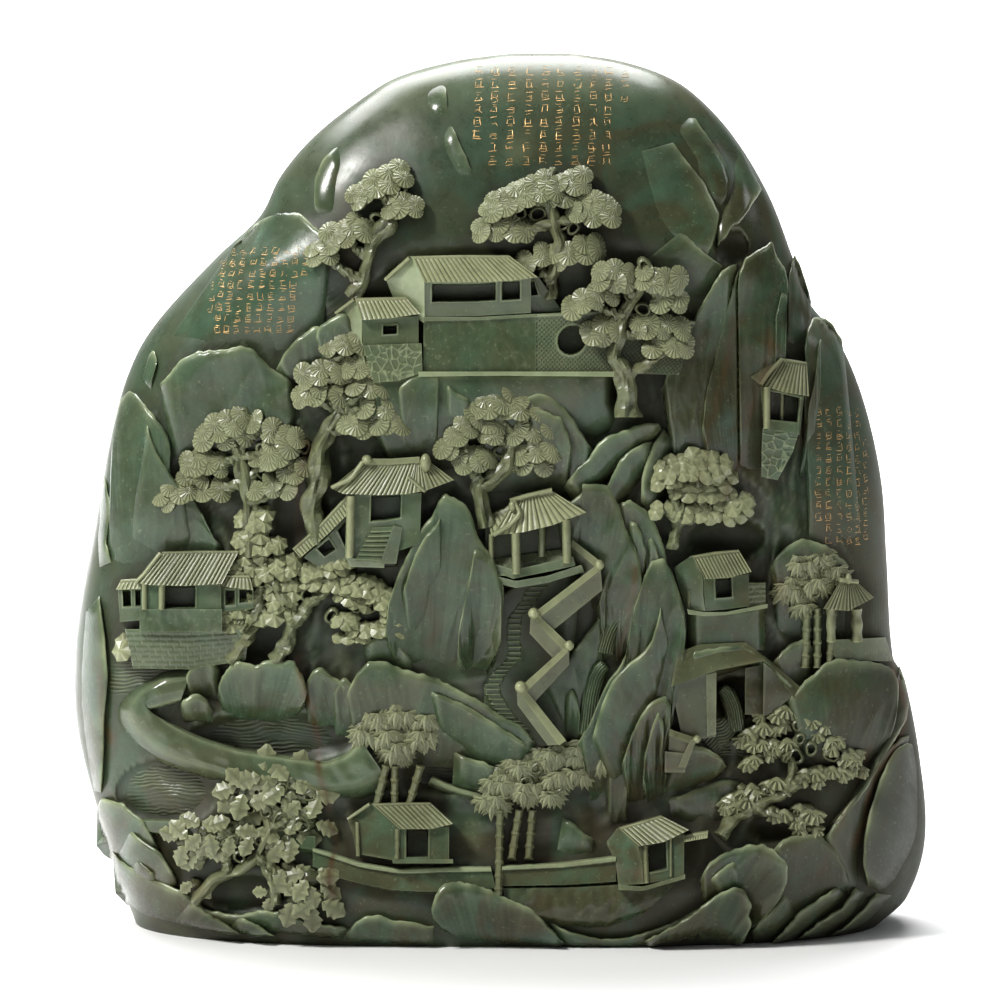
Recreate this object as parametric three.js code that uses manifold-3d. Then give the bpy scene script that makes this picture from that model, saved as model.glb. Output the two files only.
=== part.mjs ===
// A jade boulder carved in high relief: one upright stone with a mountain scene on its front.
// Millimetres, +Z up, +X to the viewer's right, front towards -Y. The origin is the middle of the
// footprint box, at the underside. The whole work is one stone, so it is one solid.

import * as THREE from 'three';
import { mergeVertices } from 'three/addons/utils/BufferGeometryUtils.js';
import Module from 'manifold-3d';

const wasm = await Module();
wasm.setup();

// Corners closer than this are one corner
const WELD = 1e-3;

// Driving sizes of the stone
const HEIGHT = 438;
const WIDTH = 428;
const FRONT_DEPTH = 84;
const BACK_DEPTH = 74;

// Share of the depth that the stone loses towards its top and at its foot
const TOP_THINNING = 0.22;
const FOOT_UNDERCUT = 0.1;
const FOOT_ROUNDING = 18;

// Powers of the rounded section: a larger one makes the broad face flatter and the rim tighter
const RIM_POWER = 3;
const FACE_POWER = 2.2;
const DOME_POWER = 6;

// Facets around the plain stone, and the heights of its sections as shares of its own
const AROUND = 30;
const LEVELS = [
  0, 0.035, 0.1, 0.19, 0.28, 0.37, 0.46, 0.55, 0.64, 0.715, 0.78, 0.84, 0.895, 0.94, 0.97, 0.99, 1,
];

// The scene is cut back from the plain front inside an oval, which fades out before the rim
const SCENE_DEPTH = 14;
const SCENE_MIDDLE = [0, 188];
const SCENE_REACH = [192, 172];
const SCENE_FADE = 0.3;

// How a rock face falls away below its ridge: the power of its bulge, how far it sinks at its
// foot, and what it loses at every second ridge point and at both ends, as shares of its lift
const FACE_FALL = 0.8;
const FACE_SAG = 0.35;
const CREASE = 0.3;
const END_SHARE = 0.5;

// How the carving stands on the stone
const ROOTED = 20;
const TRUNK_RADIUS = 3;
const TRUNK_PROUD = 9;
const ROUND_SIDES = 5;
const PAD_PROUD = 8;
const PAD_HALF_DEPTH = 10;
const PAD_FLATNESS = 0.8;
const HOUSE_PROUD = 13;
const HOUSE_ROOTED = 20;
const HOUSE_FOOT = 2;
const EAVE = 2.4;
const ROOF_THICKNESS = 2.2;
const HIP_SHARE = 0.35;
const OPENING_DEPTH = 6;
const OPENING_START = 1;
const COLUMN = 2.4;
const PARAPET_WIDTH = 5;
const PARAPET_PROUD = 16;
const WATER_PROUD = 2;

// The carving is laid out on a drawing of the front, seen from a little above level. Its points
// are [across from the middle, up from the foot], and it stretches with the stone.
const DRAWN_WIDTH = 428;
const DRAWN_HEIGHT = 438;
const VIEW_RISE = THREE.MathUtils.degToRad(8);
const FRONT = -1;
const BACK = 1;

// The outline as [height, across] on each side
const LEFT_EDGE = [
  [0, -184], [23, -193], [54, -202], [94, -212], [124, -215.5], [154, -212.5], [195, -204.5],
  [255, -193.5], [286, -183], [306, -170], [336, -142], [356, -121], [377, -110], [397, -93],
  [417, -67.5], [427, -50], [434.5, -22], [438, 3],
];
const RIGHT_EDGE = [
  [0, 190], [13, 204], [43, 214], [84, 210], [124, 202], [134, 196.5], [185, 193], [225, 190],
  [266, 180.5], [296, 167.5], [313, 154], [336, 145.5], [367, 133.5], [397, 115.5], [417, 97],
  [427, 81.5], [434.5, 58.5], [438, 36],
];

// Rock faces. The ridge is the crisp upper or outer edge, with the face on the right of the way
// along it. The face falls from the ridge by the reach, drawn in or out by the spread, or down to
// a foot line of its own. The lift is how far the ridge stands proud.
const CRAGS = [
  // Upper left: the shoulder with the second inscription, and the stepped rocks below it
  {
    ridge: [[-134, 341], [-125, 350], [-112, 353], [-98, 353], [-84, 340]],
    reach: [-16, -62], lift: 6, even: true,
  },
  {
    ridge: [[-171, 268], [-157, 283], [-132, 288], [-120, 285], [-106, 267]],
    reach: [4, -58], lift: 10, spread: 0.8,
  },
  { ridge: [[-112, 281], [-100, 299], [-91, 302], [-86, 290]], reach: [6, -30], lift: 9 },
  { ridge: [[-92, 304], [-82, 305], [-75, 302]], reach: [2, -18], lift: 9 },
  { ridge: [[-184, 262], [-178, 264], [-168, 248], [-163, 235]], reach: [-6, -70], lift: 6 },
  { ridge: [[-166, 228], [-150, 203], [-141, 187]], reach: [-14, -24], lift: 7 },
  // Lower left
  { ridge: [[-194, 66], [-187, 62], [-176, 45], [-164, 23]], reach: [2, -28], lift: 7 },
  { ridge: [[-162, 16], [-150, 9], [-120, 8], [-78, 1], [-50, 3]], reach: [0, -13], lift: 5 },
  { ridge: [[-141, 116], [-130, 132], [-107, 132], [-96, 108]], reach: [0, -24], lift: 11 },
  { ridge: [[-159, 114], [-151, 134], [-139, 128]], reach: [0, -18], lift: 8 },
  // The hill under the middle, with its tall crag
  {
    ridge: [[-72, 125], [-62, 133], [-48, 128], [-15, 114], [15, 89]],
    reach: [-10, -36], lift: 9, spread: 0.9,
  },
  { ridge: [[-22, 90], [-10, 82], [-1, 78]], reach: [-6, -18], lift: 7 },
  {
    ridge: [[-50, 178], [-40, 205], [-27, 215], [-12, 198], [1, 164]],
    reach: [-12, -52], lift: 13, spread: 0.85, rows: 2,
  },
  { ridge: [[-61, 170], [-50, 178], [-35, 148], [-15, 128]], reach: [-14, -32], lift: 8 },
  { ridge: [[2, 263], [20, 264], [35, 255], [45, 239]], reach: [-12, -36], lift: 9 },
  { ridge: [[-27, 273], [-18, 263], [-3, 262]], reach: [-8, -42], lift: 7 },
  { ridge: [[37, 230], [50, 243], [77, 250]], reach: [6, -30], lift: 8 },
  { ridge: [[30, 211], [39, 220], [56, 218], [75, 183]], reach: [-6, -38], lift: 9 },
  { ridge: [[60, 211], [73, 205], [88, 175]], reach: [4, -36], lift: 7 },
  // The blade of rock beside the falling water
  {
    ridge: [[75, 182], [80, 182], [90, 163], [90, 130], [83, 118]],
    reach: [-22, -46], lift: 12, spread: 0.7, rows: 2,
  },
  { ridge: [[52, 123], [75, 143], [79, 158]], reach: [-8, -42], lift: 15 },
  { ridge: [[83, 96], [98, 91], [112, 79], [80, 68]], reach: [-24, -8], lift: 9 },
  { ridge: [[55, 83], [61, 79], [61, 63], [55, 53]], reach: [-14, -6], lift: 7 },
  { ridge: [[49, 63], [55, 59], [60, 53]], reach: [-5, -15], lift: 6 },
  // The right cliffs
  { ridge: [[100, 313], [110, 327], [125, 334]], reach: [-18, -96], lift: 11, rows: 2 },
  { ridge: [[125, 334], [134, 340], [142, 318], [145, 298]], reach: [-20, -80], lift: 12, rows: 2 },
  { ridge: [[72, 228], [80, 248], [84, 280], [95, 303]], reach: [16, -34], lift: 9 },
  {
    ridge: [[136, 198], [147, 243], [149, 278], [152, 304]],
    foot: [[184, 196], [181, 232], [167, 266], [156, 290]],
    lift: 9, even: true,
  },
  { ridge: [[134, 178], [142, 190], [162, 190], [172, 180]], reach: [0, -30], lift: 8 },
  { ridge: [[145, 117], [158, 130], [182, 134], [192, 127]], reach: [0, -58], lift: 9, spread: 0.8 },
  { ridge: [[98, 138], [120, 140], [133, 130], [147, 118]], reach: [-4, -15], lift: 14, even: true },
  { ridge: [[179, 34], [187, 68], [194, 97]], reach: [7, -26], lift: 10 },
  { ridge: [[166, 42], [174, 66], [184, 92]], reach: [10, -12], lift: 6 },
  // Rocks along the foot
  { ridge: [[-35, 15], [-20, 23], [0, 18], [20, 3], [38, -5]], reach: [-4, -20], lift: 8 },
  { ridge: [[75, 1], [90, 7], [112, 19], [124, -2]], reach: [0, -18], lift: 8 },
  { ridge: [[100, 28], [122, 40], [138, 33], [130, 10]], reach: [-8, -24], lift: 10 },
  { ridge: [[137, 38], [152, 47], [171, 25]], reach: [-4, -30], lift: 9 },
  // Shallow facets of the upper face
  { ridge: [[88, 405], [100, 390], [112, 373], [108, 355]], reach: [-18, -14], lift: 3 },
  { ridge: [[-92, 368], [-86, 383], [-78, 391]], reach: [9, -15], lift: 3 },
];

// Broad, plainer rock faces of the back
const BACK_CRAGS = [
  { ridge: [[-120, 300], [-80, 340], [-30, 350], [10, 330]], reach: [10, -120], lift: 6 },
  { ridge: [[20, 300], [60, 350], [100, 330], [135, 270]], reach: [-10, -130], lift: 6 },
  { ridge: [[-180, 200], [-140, 235], [-90, 225], [-50, 190]], reach: [0, -130], lift: 7 },
  { ridge: [[-40, 165], [10, 205], [70, 195], [110, 150]], reach: [0, -120], lift: 7 },
  { ridge: [[100, 210], [140, 225], [175, 180]], reach: [-6, -140], lift: 6 },
];

// Hollows cut into the scene, as [across, up, half width, half height, depth]
const HOLLOWS = [
  [-115, 93, 42, 13, 9],
  [-167, 66, 26, 17, 7],
  [-30, 75, 17, 10, 10],
  [112, 192, 20, 11, 10],
];

// Houses. The front wall's left foot stands at [across, up]. The side wall runs back and shifts
// by the skew, so a positive skew shows the left gable and a negative one the right gable.
const HOUSES = [
  {
    name: 'main hall', at: [-38, 300], width: 51, wall: 17.5, roof: 13.5, skew: 19,
    openings: [[5, 35, 9, 16], [40, 47, 9, 16]],
  },
  { name: 'annex', at: [-70, 290], width: 27, wall: 11, roof: 9, skew: 12, openings: [[12, 19, 3, 7]] },
  {
    name: 'gate tower', at: [-76, 186], width: 37, wall: 30, roof: 18, skew: 2, hipped: true,
    openings: [[12, 27, 17, 28]],
  },
  {
    name: 'left house', at: [-178, 152], width: 38, wall: 17, roof: 16, skew: -22,
    openings: [[12, 26, 3, 15]],
  },
  {
    name: 'garden house', at: [-54, 34], width: 28, wall: 15, roof: 11.5, skew: 20,
    openings: [[7, 18, 1, 13]],
  },
  {
    name: 'water house', at: [67, 23], width: 23, wall: 17, roof: 12, skew: 15,
    openings: [[5, 13, 4, 16]],
  },
  {
    name: 'terrace house', at: [100, 163], width: 23, wall: 12, roof: 10, skew: 14,
    openings: [[6, 13, 0.5, 10]],
  },
  {
    name: 'watchtower', at: [130, 223], width: 17, wall: 42, roof: 13, skew: 6,
    openings: [[3, 14, 30, 41]],
  },
];

// Open pavilions, placed as the houses are
const PAVILIONS = [
  { name: 'cliff pavilion', at: [-1, 176], width: 35, wall: 19, roof: 17, skew: 4, hipped: true },
  { name: 'bamboo pavilion', at: [164, 144], width: 20, wall: 14, roof: 10, skew: 4, hipped: true },
];

// Straight terraces and walls, as [left, right, bottom, top, proud]
const TERRACES = [
  [-68, -40, 273, 291, 12],
  [-40, 15, 274, 301, 14],
  [15, 54, 274, 306, 12],
  [65, 96, 275, 306, 9],
  [-190, -138, 131, 153, 9],
  [92, 146, 136, 157, 9],
  [-5, 37, 172, 178, 15],
  [166, 192, 131, 145, 9],
  [-76, -50, 176, 187, 11],
];

// The round gate through the courtyard wall
const MOON_GATE = { at: [35, 290], radius: 7.2, proud: 12, sides: 14 };

// The cave mouth, with its stream
const CAVE = { at: [107, 103], width: 20, height: 18, depth: 14, proud: 8 };

// Banks and low walls that wind over the scene: their middle line, half width and proud height
const BANKS = [
  {
    line: [
      [-153, 127], [-178, 118], [-188, 106], [-180, 95], [-160, 86], [-130, 78], [-98, 76],
      [-78, 83],
    ],
    radius: 9, proud: 6,
  },
  { line: [[-180, 50], [-150, 48], [-115, 44], [-90, 40]], radius: 5, proud: 5 },
  { line: [[-92, 37], [-70, 30], [-40, 28], [-5, 29]], radius: 7, proud: 6 },
  { line: [[0, 26], [30, 28], [56, 32], [70, 24]], radius: 7, proud: 7 },
];

// The zigzag parapet up the hill, and the roofed way to the gate tower
const PARAPET = [[30, 89], [11, 116], [34, 138], [17, 152], [48, 176]];
const COVERED_WAY = [[-101, 185], [-75, 211]];

// Trees: the trunk's line from its foot, and the pads of leaves as [across, up, radius]
const TREES = [
  {
    name: 'pine on the shoulder', trunk: [[-71, 313], [-69, 328], [-60, 355]],
    pads: [[-54, 365, 13], [-75, 348, 11], [-81, 338, 8]],
  },
  {
    name: 'pine behind the hall', trunk: [[24, 313], [27, 328], [25, 360]],
    pads: [[8, 363, 10], [1, 347, 10], [31, 369, 10], [47, 353, 10], [40, 338, 8]],
  },
  {
    name: 'pine beside the wall', trunk: [[64, 248], [64, 273], [60, 300]],
    pads: [[52, 316, 13], [81, 313, 11], [74, 298, 10]],
  },
  {
    name: 'pine by the gate', trunk: [[-91, 193], [-93, 218], [-83, 268]],
    pads: [[-101, 267, 10], [-81, 277, 14], [-64, 257, 12]],
  },
  {
    name: 'pine on the left',
    trunk: [[-122, 183], [-125, 210], [-126, 245]],
    pads: [[-139, 248, 10], [-121, 253, 10], [-151, 221, 13], [-105, 231, 12]],
  },
  {
    name: 'pine on the tall crag', trunk: [[-6, 200], [-8, 220], [2, 238]],
    pads: [[-20, 247, 12], [3, 257, 13], [20, 240, 11]],
  },
  {
    name: 'pine leaning from the cliff', trunk: [[81, 193], [95, 201], [118, 208]],
    pads: [[93, 229, 14], [110, 225, 11], [120, 210, 9]],
  },
  {
    name: 'left of the twin maples',
    trunk: [[-130, 133], [-122, 150], [-120, 175]],
    pads: [[-127, 192, 12], [-121, 174, 12], [-131, 153, 10]],
  },
  {
    name: 'right of the twin maples', trunk: [[-107, 133], [-105, 150], [-85, 168]],
    pads: [[-108, 160, 10], [-88, 175, 13], [-65, 161, 14]],
  },
  {
    name: 'broad-leaved tree', trunk: [[-155, 15], [-130, 28], [-118, 52]],
    pads: [[-123, 69, 12], [-104, 69, 12], [-148, 40, 13], [-100, 48, 10], [-97, 24, 12]],
  },
  {
    name: 'fruit tree', trunk: [[110, 38], [134, 56], [148, 75]],
    pads: [[146, 100, 13], [130, 87, 11], [164, 81, 13], [115, 64, 12], [142, 66, 11]],
  },
];

// Bamboo clumps: their stems as [across, foot, top], and the pads of leaves
const BAMBOOS = [
  {
    name: 'bamboo by the pond', stems: [[-60, 58, 76], [-48, 58, 76]],
    pads: [[-58, 101, 12], [-39, 93, 12], [-57, 83, 11]],
  },
  {
    name: 'bamboo in front', stems: [[-1, 18, 56], [12, 34, 56]],
    pads: [[0, 67, 14], [22, 79, 15], [42, 82, 11], [12, 61, 11]],
  },
  {
    name: 'bamboo on the right', stems: [[152, 130, 158], [162, 130, 158]],
    pads: [[151, 175, 13], [142, 163, 10], [160, 164, 12]],
  },
];

// Falling water beside the blade of rock, as [across, up, half width, half height]
const WATERFALLS = [
  [55, 146, 5, 9],
  [47, 113, 7, 20],
];

// Value at a place on a smooth curve through [place, value] points
function smooth(points, at) {
  const last = points.length - 1;
  let i = 0;
  while (i < last - 1 && at > points[i + 1][0]) i += 1;
  const slope = (k) => {
    const before = points[Math.max(k - 1, 0)];
    const after = points[Math.min(k + 1, last)];
    return (after[1] - before[1]) / (after[0] - before[0]);
  };
  const [x0, y0] = points[i];
  const [x1, y1] = points[i + 1];
  const span = x1 - x0;
  const t = THREE.MathUtils.clamp((at - x0) / span, 0, 1);
  const bend = t * t * (3 - 2 * t);
  const rise = span * t * (1 - t) * ((1 - t) * slope(i) - t * slope(i + 1));
  return y0 + (y1 - y0) * bend + rise;
}

// Left and right edge of the stone at a height
function edges(z) {
  const drawn = (z * DRAWN_HEIGHT) / HEIGHT;
  const scale = WIDTH / DRAWN_WIDTH;
  return [smooth(LEFT_EDGE, drawn) * scale, smooth(RIGHT_EDGE, drawn) * scale];
}

// Depth of the plain stone on one side at its middle, thinner towards the top and at the foot
function fullDepth(z, side) {
  const share = THREE.MathUtils.clamp(z / HEIGHT, 0, 1);
  const depth = side === FRONT ? FRONT_DEPTH : BACK_DEPTH;
  const thinning = 1 - TOP_THINNING * share ** 1.5;
  const dome = Math.sqrt(Math.max(1 - share ** DOME_POWER, 0));
  const foot = 1 - FOOT_UNDERCUT * Math.exp(-z / FOOT_ROUNDING);
  return depth * thinning * dome * foot;
}

// How far the scene is cut back at a point of the front
function sceneCut(x, z) {
  const across = Math.abs(x * (DRAWN_WIDTH / WIDTH) - SCENE_MIDDLE[0]) / SCENE_REACH[0];
  const up = Math.abs(z * (DRAWN_HEIGHT / HEIGHT) - SCENE_MIDDLE[1]) / SCENE_REACH[1];
  const out = (across ** RIM_POWER + up ** RIM_POWER) ** (1 / RIM_POWER);
  return SCENE_DEPTH * (1 - THREE.MathUtils.smoothstep(out, 1 - SCENE_FADE, 1));
}

// Distance of the stone's surface from the middle plane, on its front or back
function surfaceDepth(x, z, side) {
  const [left, right] = edges(z);
  const out = Math.min(Math.abs(x - (left + right) / 2) / ((right - left) / 2), 1);
  const plain = fullDepth(z, side) * (1 - out ** RIM_POWER) ** (1 / FACE_POWER);
  return side === FRONT ? plain - Math.min(sceneCut(x, z), plain / 2) : plain;
}

// A point of the drawing, carried back to the surface and then out from it by the proud height
function place(across, up, proud, side = FRONT) {
  const x = across * (WIDTH / DRAWN_WIDTH);
  const drawnUp = up * (HEIGHT / DRAWN_HEIGHT);
  if (side === BACK) {
    return new THREE.Vector3(x, surfaceDepth(x, drawnUp, BACK) + proud, drawnUp);
  }
  let z = drawnUp;
  let depth = 0;
  for (let step = 0; step < 4; step += 1) {
    depth = surfaceDepth(x, z, FRONT) + proud;
    z = Math.max((drawnUp + depth * Math.sin(VIEW_RISE)) / Math.cos(VIEW_RISE), 0);
  }
  return new THREE.Vector3(x, -depth, z);
}

// Moves every corner of a geometry by a function of its point
function reshape(geometry, move) {
  const points = geometry.attributes.position;
  const point = new THREE.Vector3();
  for (let i = 0; i < points.count; i += 1) {
    move(point.fromBufferAttribute(points, i));
    points.setXYZ(i, point.x, point.y, point.z);
  }
  return geometry;
}

// A closed geometry as a solid that can be joined and cut
function toSolid(geometry) {
  const bare = geometry.clone();
  bare.deleteAttribute('normal');
  bare.deleteAttribute('uv');
  const merged = mergeVertices(bare, WELD);
  const corners = merged.index.array;
  const kept = [];
  for (let i = 0; i < corners.length; i += 3) {
    const [a, b, c] = corners.subarray(i, i + 3);
    if (a !== b && b !== c && c !== a) kept.push(a, b, c);
  }
  return new wasm.Manifold(new wasm.Mesh({
    numProp: 3,
    vertProperties: new Float32Array(merged.attributes.position.array),
    triVerts: new Uint32Array(kept),
  }));
}

// The plain stone: rounded sections stacked from the flat underside to the domed top
function plainStone() {
  const steps = LEVELS.length - 1;
  const column = new THREE.CylinderGeometry(1, 1, 1, AROUND, steps).rotateX(Math.PI / 2);
  return toSolid(reshape(column, (point) => {
    const z = HEIGHT * LEVELS[Math.round((point.z + 0.5) * steps)];
    const [left, right] = edges(z);
    const radius = Math.hypot(point.x, point.y);
    const turn = Math.atan2(point.y, point.x);
    const across = Math.sign(Math.cos(turn)) * Math.abs(Math.cos(turn)) ** (2 / RIM_POWER);
    const x = (left + right) / 2 + (radius * across * (right - left)) / 2;
    const side = turn < 0 ? FRONT : BACK;
    point.set(x, radius * side * surfaceDepth(x, z, side), z);
  }));
}

// A hollow in the front, as a flattened ball to cut away
function hollow([across, up, halfWidth, halfHeight, depth]) {
  const middle = place(across, up, 0);
  const ball = new THREE.IcosahedronGeometry(1, 0).scale(halfWidth, depth, halfHeight);
  return toSolid(ball.translate(middle.x, middle.y, middle.z));
}

// One rock face: proud and creased at its ridge, sinking into the stone at its foot
function crag({ ridge, foot, reach, lift, spread = 1, rows = 1, even = false }, side = FRONT) {
  const columns = ridge.length - 1;
  const middle = ridge.reduce((sum, [across]) => sum + across, 0) / ridge.length;
  const block = new THREE.BoxGeometry(1, 1, 1, columns, 1, rows);
  return toSolid(reshape(block, (point) => {
    const column = Math.round((point.x + 0.5) * columns);
    const down = 0.5 - point.z;
    const outside = point.y * side > 0;
    const [across, up] = ridge[column];
    const drawnIn = middle + (across - middle) * spread;
    const [footAcross, footUp] = foot ? foot[column] : [drawnIn + reach[0], up + reach[1]];
    const endShare = column === 0 || column === columns ? END_SHARE : 1;
    const crease = even ? 0 : CREASE * (column % 2);
    const fall = (1 - down) ** FACE_FALL - FACE_SAG * down;
    const proud = outside ? lift * fall * (1 - crease) * endShare : -ROOTED;
    point.copy(place(across + (footAcross - across) * down, up + (footUp - up) * down, proud, side));
  }));
}

// A block of a house's own frame, shifted with depth by the skew and set on the front. In that
// frame X runs along the front wall, Y into the stone and Z up, from the wall's left foot.
function setHouse(geometry, { at, skew = 0, proud = HOUSE_PROUD }) {
  const foot = place(at[0], at[1], proud);
  const skewed = reshape(geometry, (point) => {
    point.x -= (skew * point.y) / proud;
  });
  return toSolid(skewed.translate(foot.x, foot.y, foot.z));
}

// A plain box from two opposite corners
function boxBetween([x0, y0, z0], [x1, y1, z1]) {
  const box = new THREE.BoxGeometry(x1 - x0, y1 - y0, z1 - z0);
  return box.translate((x0 + x1) / 2, (y0 + y1) / 2, (z0 + z1) / 2);
}

// A roof over the walls, with its ridge along the front, drawn in at the ends where it is hipped
function roofBlock({ width, wall, roof, hipped = false }) {
  const middle = HOUSE_PROUD / 2;
  const section = new THREE.Shape([
    new THREE.Vector2(-EAVE, wall - ROOF_THICKNESS / 2),
    new THREE.Vector2(2 * middle + EAVE, wall - ROOF_THICKNESS / 2),
    new THREE.Vector2(2 * middle + EAVE, wall + ROOF_THICKNESS / 2),
    new THREE.Vector2(middle, wall + roof),
    new THREE.Vector2(-EAVE, wall + ROOF_THICKNESS / 2),
  ]);
  const length = width + 2 * EAVE;
  const prism = new THREE.ExtrudeGeometry(section, { depth: length, bevelEnabled: false });
  const turned = prism.applyMatrix4(new THREE.Matrix4().makeBasis(
    new THREE.Vector3(0, 1, 0), new THREE.Vector3(0, 0, 1), new THREE.Vector3(1, 0, 0),
  )).translate(-EAVE, 0, 0);
  return reshape(turned, (point) => {
    const ridgeShare = (point.z - wall - ROOF_THICKNESS / 2) / (roof - ROOF_THICKNESS / 2);
    const drawnIn = hipped ? HIP_SHARE * Math.max(ridgeShare, 0) : 0;
    point.x = width / 2 + (point.x - width / 2) * (1 - drawnIn);
  });
}

// A house with its roof, and with its doors and windows sunk into the front wall
function house(plan) {
  const walls = setHouse(boxBetween([0, 0, -HOUSE_FOOT], [plan.width, HOUSE_ROOTED, plan.wall]), plan);
  let solid = walls.add(setHouse(roofBlock(plan), plan));
  for (const [left, right, sill, head] of plan.openings) {
    const opening = boxBetween([left, -OPENING_START, sill], [right, OPENING_DEPTH, head]);
    solid = solid.subtract(setHouse(opening, plan));
  }
  return solid;
}

// An open pavilion: a back wall inside the stone, corner columns and a roof
function pavilion(plan) {
  const { width, wall } = plan;
  const back = boxBetween([0, HOUSE_PROUD - COLUMN, -HOUSE_FOOT], [width, HOUSE_ROOTED, wall]);
  let solid = setHouse(back, plan).add(setHouse(roofBlock(plan), plan));
  for (const x of [0, width / 2 - COLUMN / 2, width - COLUMN]) {
    const post = boxBetween([x, 0, -HOUSE_FOOT], [x + COLUMN, COLUMN, wall]);
    solid = solid.add(setHouse(post, plan));
  }
  return solid;
}

// A straight terrace or wall face
function terrace([left, right, bottom, top, proud]) {
  const foot = place(left, bottom, proud);
  const end = place(right, top, proud);
  const middle = place((left + right) / 2, (bottom + top) / 2, proud);
  const nearest = Math.min(foot.y, end.y, middle.y);
  const rooted = nearest + proud + 2 * ROOTED;
  return toSolid(boxBetween([foot.x, nearest, foot.z], [end.x, rooted, end.z]));
}

// A smooth curve through drawn points, standing proud of the stone
function drawnCurve(line, proud) {
  return new THREE.CatmullRomCurve3(line.map(([across, up]) => place(across, up, proud)));
}

// A rounded bar along a drawn line, with a section of the given half sizes, half sunk in the stone
function bar(line, halfWidth, halfDepth) {
  const oval = new THREE.EllipseCurve(0, 0, halfDepth, halfWidth).getPoints(ROUND_SIDES);
  const section = new THREE.Shape(oval.slice(0, -1));
  const along = { extrudePath: drawnCurve(line, halfDepth / 2), steps: line.length };
  return toSolid(new THREE.ExtrudeGeometry(section, along));
}

// A straight wall of square section between two drawn points
function straightWall(start, end, proud, width) {
  const from = place(start[0], start[1], proud);
  const to = place(end[0], end[1], proud);
  const length = from.distanceTo(to);
  const half = width / 2;
  const block = boxBetween([-half, 0, -half], [length + half, proud + ROOTED, half]);
  const rise = Math.atan2(to.z - from.z, to.x - from.x);
  const swing = Math.asin((to.y - from.y) / length);
  return toSolid(block.rotateZ(swing).rotateY(-rise).translate(from.x, from.y, from.z));
}

// A pad of leaves, rooted in the stone behind it
function pad([across, up, radius]) {
  const middle = place(across, up, PAD_PROUD - PAD_HALF_DEPTH / 2);
  const lump = new THREE.IcosahedronGeometry(1, 0);
  lump.scale(radius, PAD_HALF_DEPTH, radius * PAD_FLATNESS);
  return toSolid(lump.translate(middle.x, middle.y, middle.z));
}

// A tree: a bent trunk and its pads of leaves
function tree({ trunk, pads }) {
  const stem = bar(trunk, TRUNK_RADIUS, TRUNK_PROUD);
  return pads.reduce((solid, one) => solid.add(pad(one)), stem);
}

// A clump of bamboo: straight stems and their pads of leaves
function bamboo({ stems, pads }) {
  const canes = stems.map(([across, foot, top]) => (
    straightWall([across, foot], [across, top], TRUNK_PROUD, COLUMN)
  ));
  return [...canes, ...pads.map(pad)].reduce((all, one) => all.add(one));
}

// A fall of water: a smooth tongue against the rock
function waterfall([across, up, halfWidth, halfHeight]) {
  const middle = place(across, up, WATER_PROUD);
  const tongue = new THREE.SphereGeometry(1, 8, 6);
  tongue.scale(halfWidth, PAD_HALF_DEPTH, halfHeight);
  return toSolid(tongue.translate(middle.x, middle.y, middle.z));
}

// The round gate and the cave mouth, as shapes to cut away
function moonGate() {
  const { at, radius, proud, sides } = MOON_GATE;
  const middle = place(at[0], at[1], proud);
  const disc = new THREE.CylinderGeometry(radius, radius, 2 * OPENING_DEPTH, sides);
  return toSolid(disc.translate(middle.x, middle.y, middle.z));
}

function caveMouth() {
  const { at, width, height, depth, proud } = CAVE;
  const foot = place(at[0], at[1], proud);
  const mouth = boxBetween([0, 0, 0], [width, depth, height]);
  return toSolid(mouth.translate(foot.x, foot.y, foot.z));
}

// The rock of the mountain: the plain stone, its hollows and its crags on both sides
function mountain() {
  let stone = plainStone();
  for (const one of HOLLOWS) stone = stone.subtract(hollow(one));
  for (const one of CRAGS) stone = stone.add(crag(one));
  for (const one of BACK_CRAGS) stone = stone.add(crag(one, BACK));
  for (const one of WATERFALLS) stone = stone.add(waterfall(one));
  return stone.subtract(caveMouth());
}

// Everything built on the mountain: terraces, banks, walls, houses and pavilions
function buildings() {
  const walls = TERRACES.map(terrace).reduce((all, one) => all.add(one)).subtract(moonGate());
  const banks = BANKS.map(({ line, radius, proud }) => bar(line, radius, proud));
  const parapet = PARAPET.slice(1).map((end, i) => (
    straightWall(PARAPET[i], end, PARAPET_PROUD, PARAPET_WIDTH)
  ));
  const way = straightWall(COVERED_WAY[0], COVERED_WAY[1], HOUSE_PROUD, PARAPET_WIDTH + EAVE);
  return [...banks, ...parapet, way, ...HOUSES.map(house), ...PAVILIONS.map(pavilion)]
    .reduce((all, one) => all.add(one), walls);
}

// The faces of a solid as a geometry
function toGeometry(solid) {
  const mesh = solid.getMesh();
  const geometry = new THREE.BufferGeometry();
  geometry.setAttribute('position', new THREE.BufferAttribute(new Float32Array(mesh.vertProperties), 3));
  return geometry.setIndex(new THREE.BufferAttribute(new Uint32Array(mesh.triVerts), 1));
}

// The stone without the small pockets that overlapping rocks seal between them
function withoutPockets(solid) {
  const skins = toSolid(toGeometry(solid)).decompose().filter((skin) => skin.volume() > 0);
  return skins.reduce((all, skin) => all.add(skin));
}

// The solid's faces, moved so that its footprint box is centred on the origin
function toCentredGeometry(solid) {
  const geometry = toGeometry(solid);
  geometry.computeBoundingBox();
  const { min, max } = geometry.boundingBox;
  return geometry.translate(-(min.x + max.x) / 2, -(min.y + max.y) / 2, -min.z);
}

function jadeBoulder() {
  const planting = [...TREES.map(tree), ...BAMBOOS.map(bamboo)];
  const solid = planting.reduce((all, one) => all.add(one), mountain().add(buildings()));
  const material = new THREE.MeshStandardMaterial({ color: 0x5d6f58, roughness: 0.35, metalness: 0 });
  const boulder = new THREE.Mesh(toCentredGeometry(withoutPockets(solid)), material);
  boulder.name = 'jade_boulder';
  return boulder;
}

const model = new THREE.Group();
model.add(jadeBoulder());

export default model;
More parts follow.
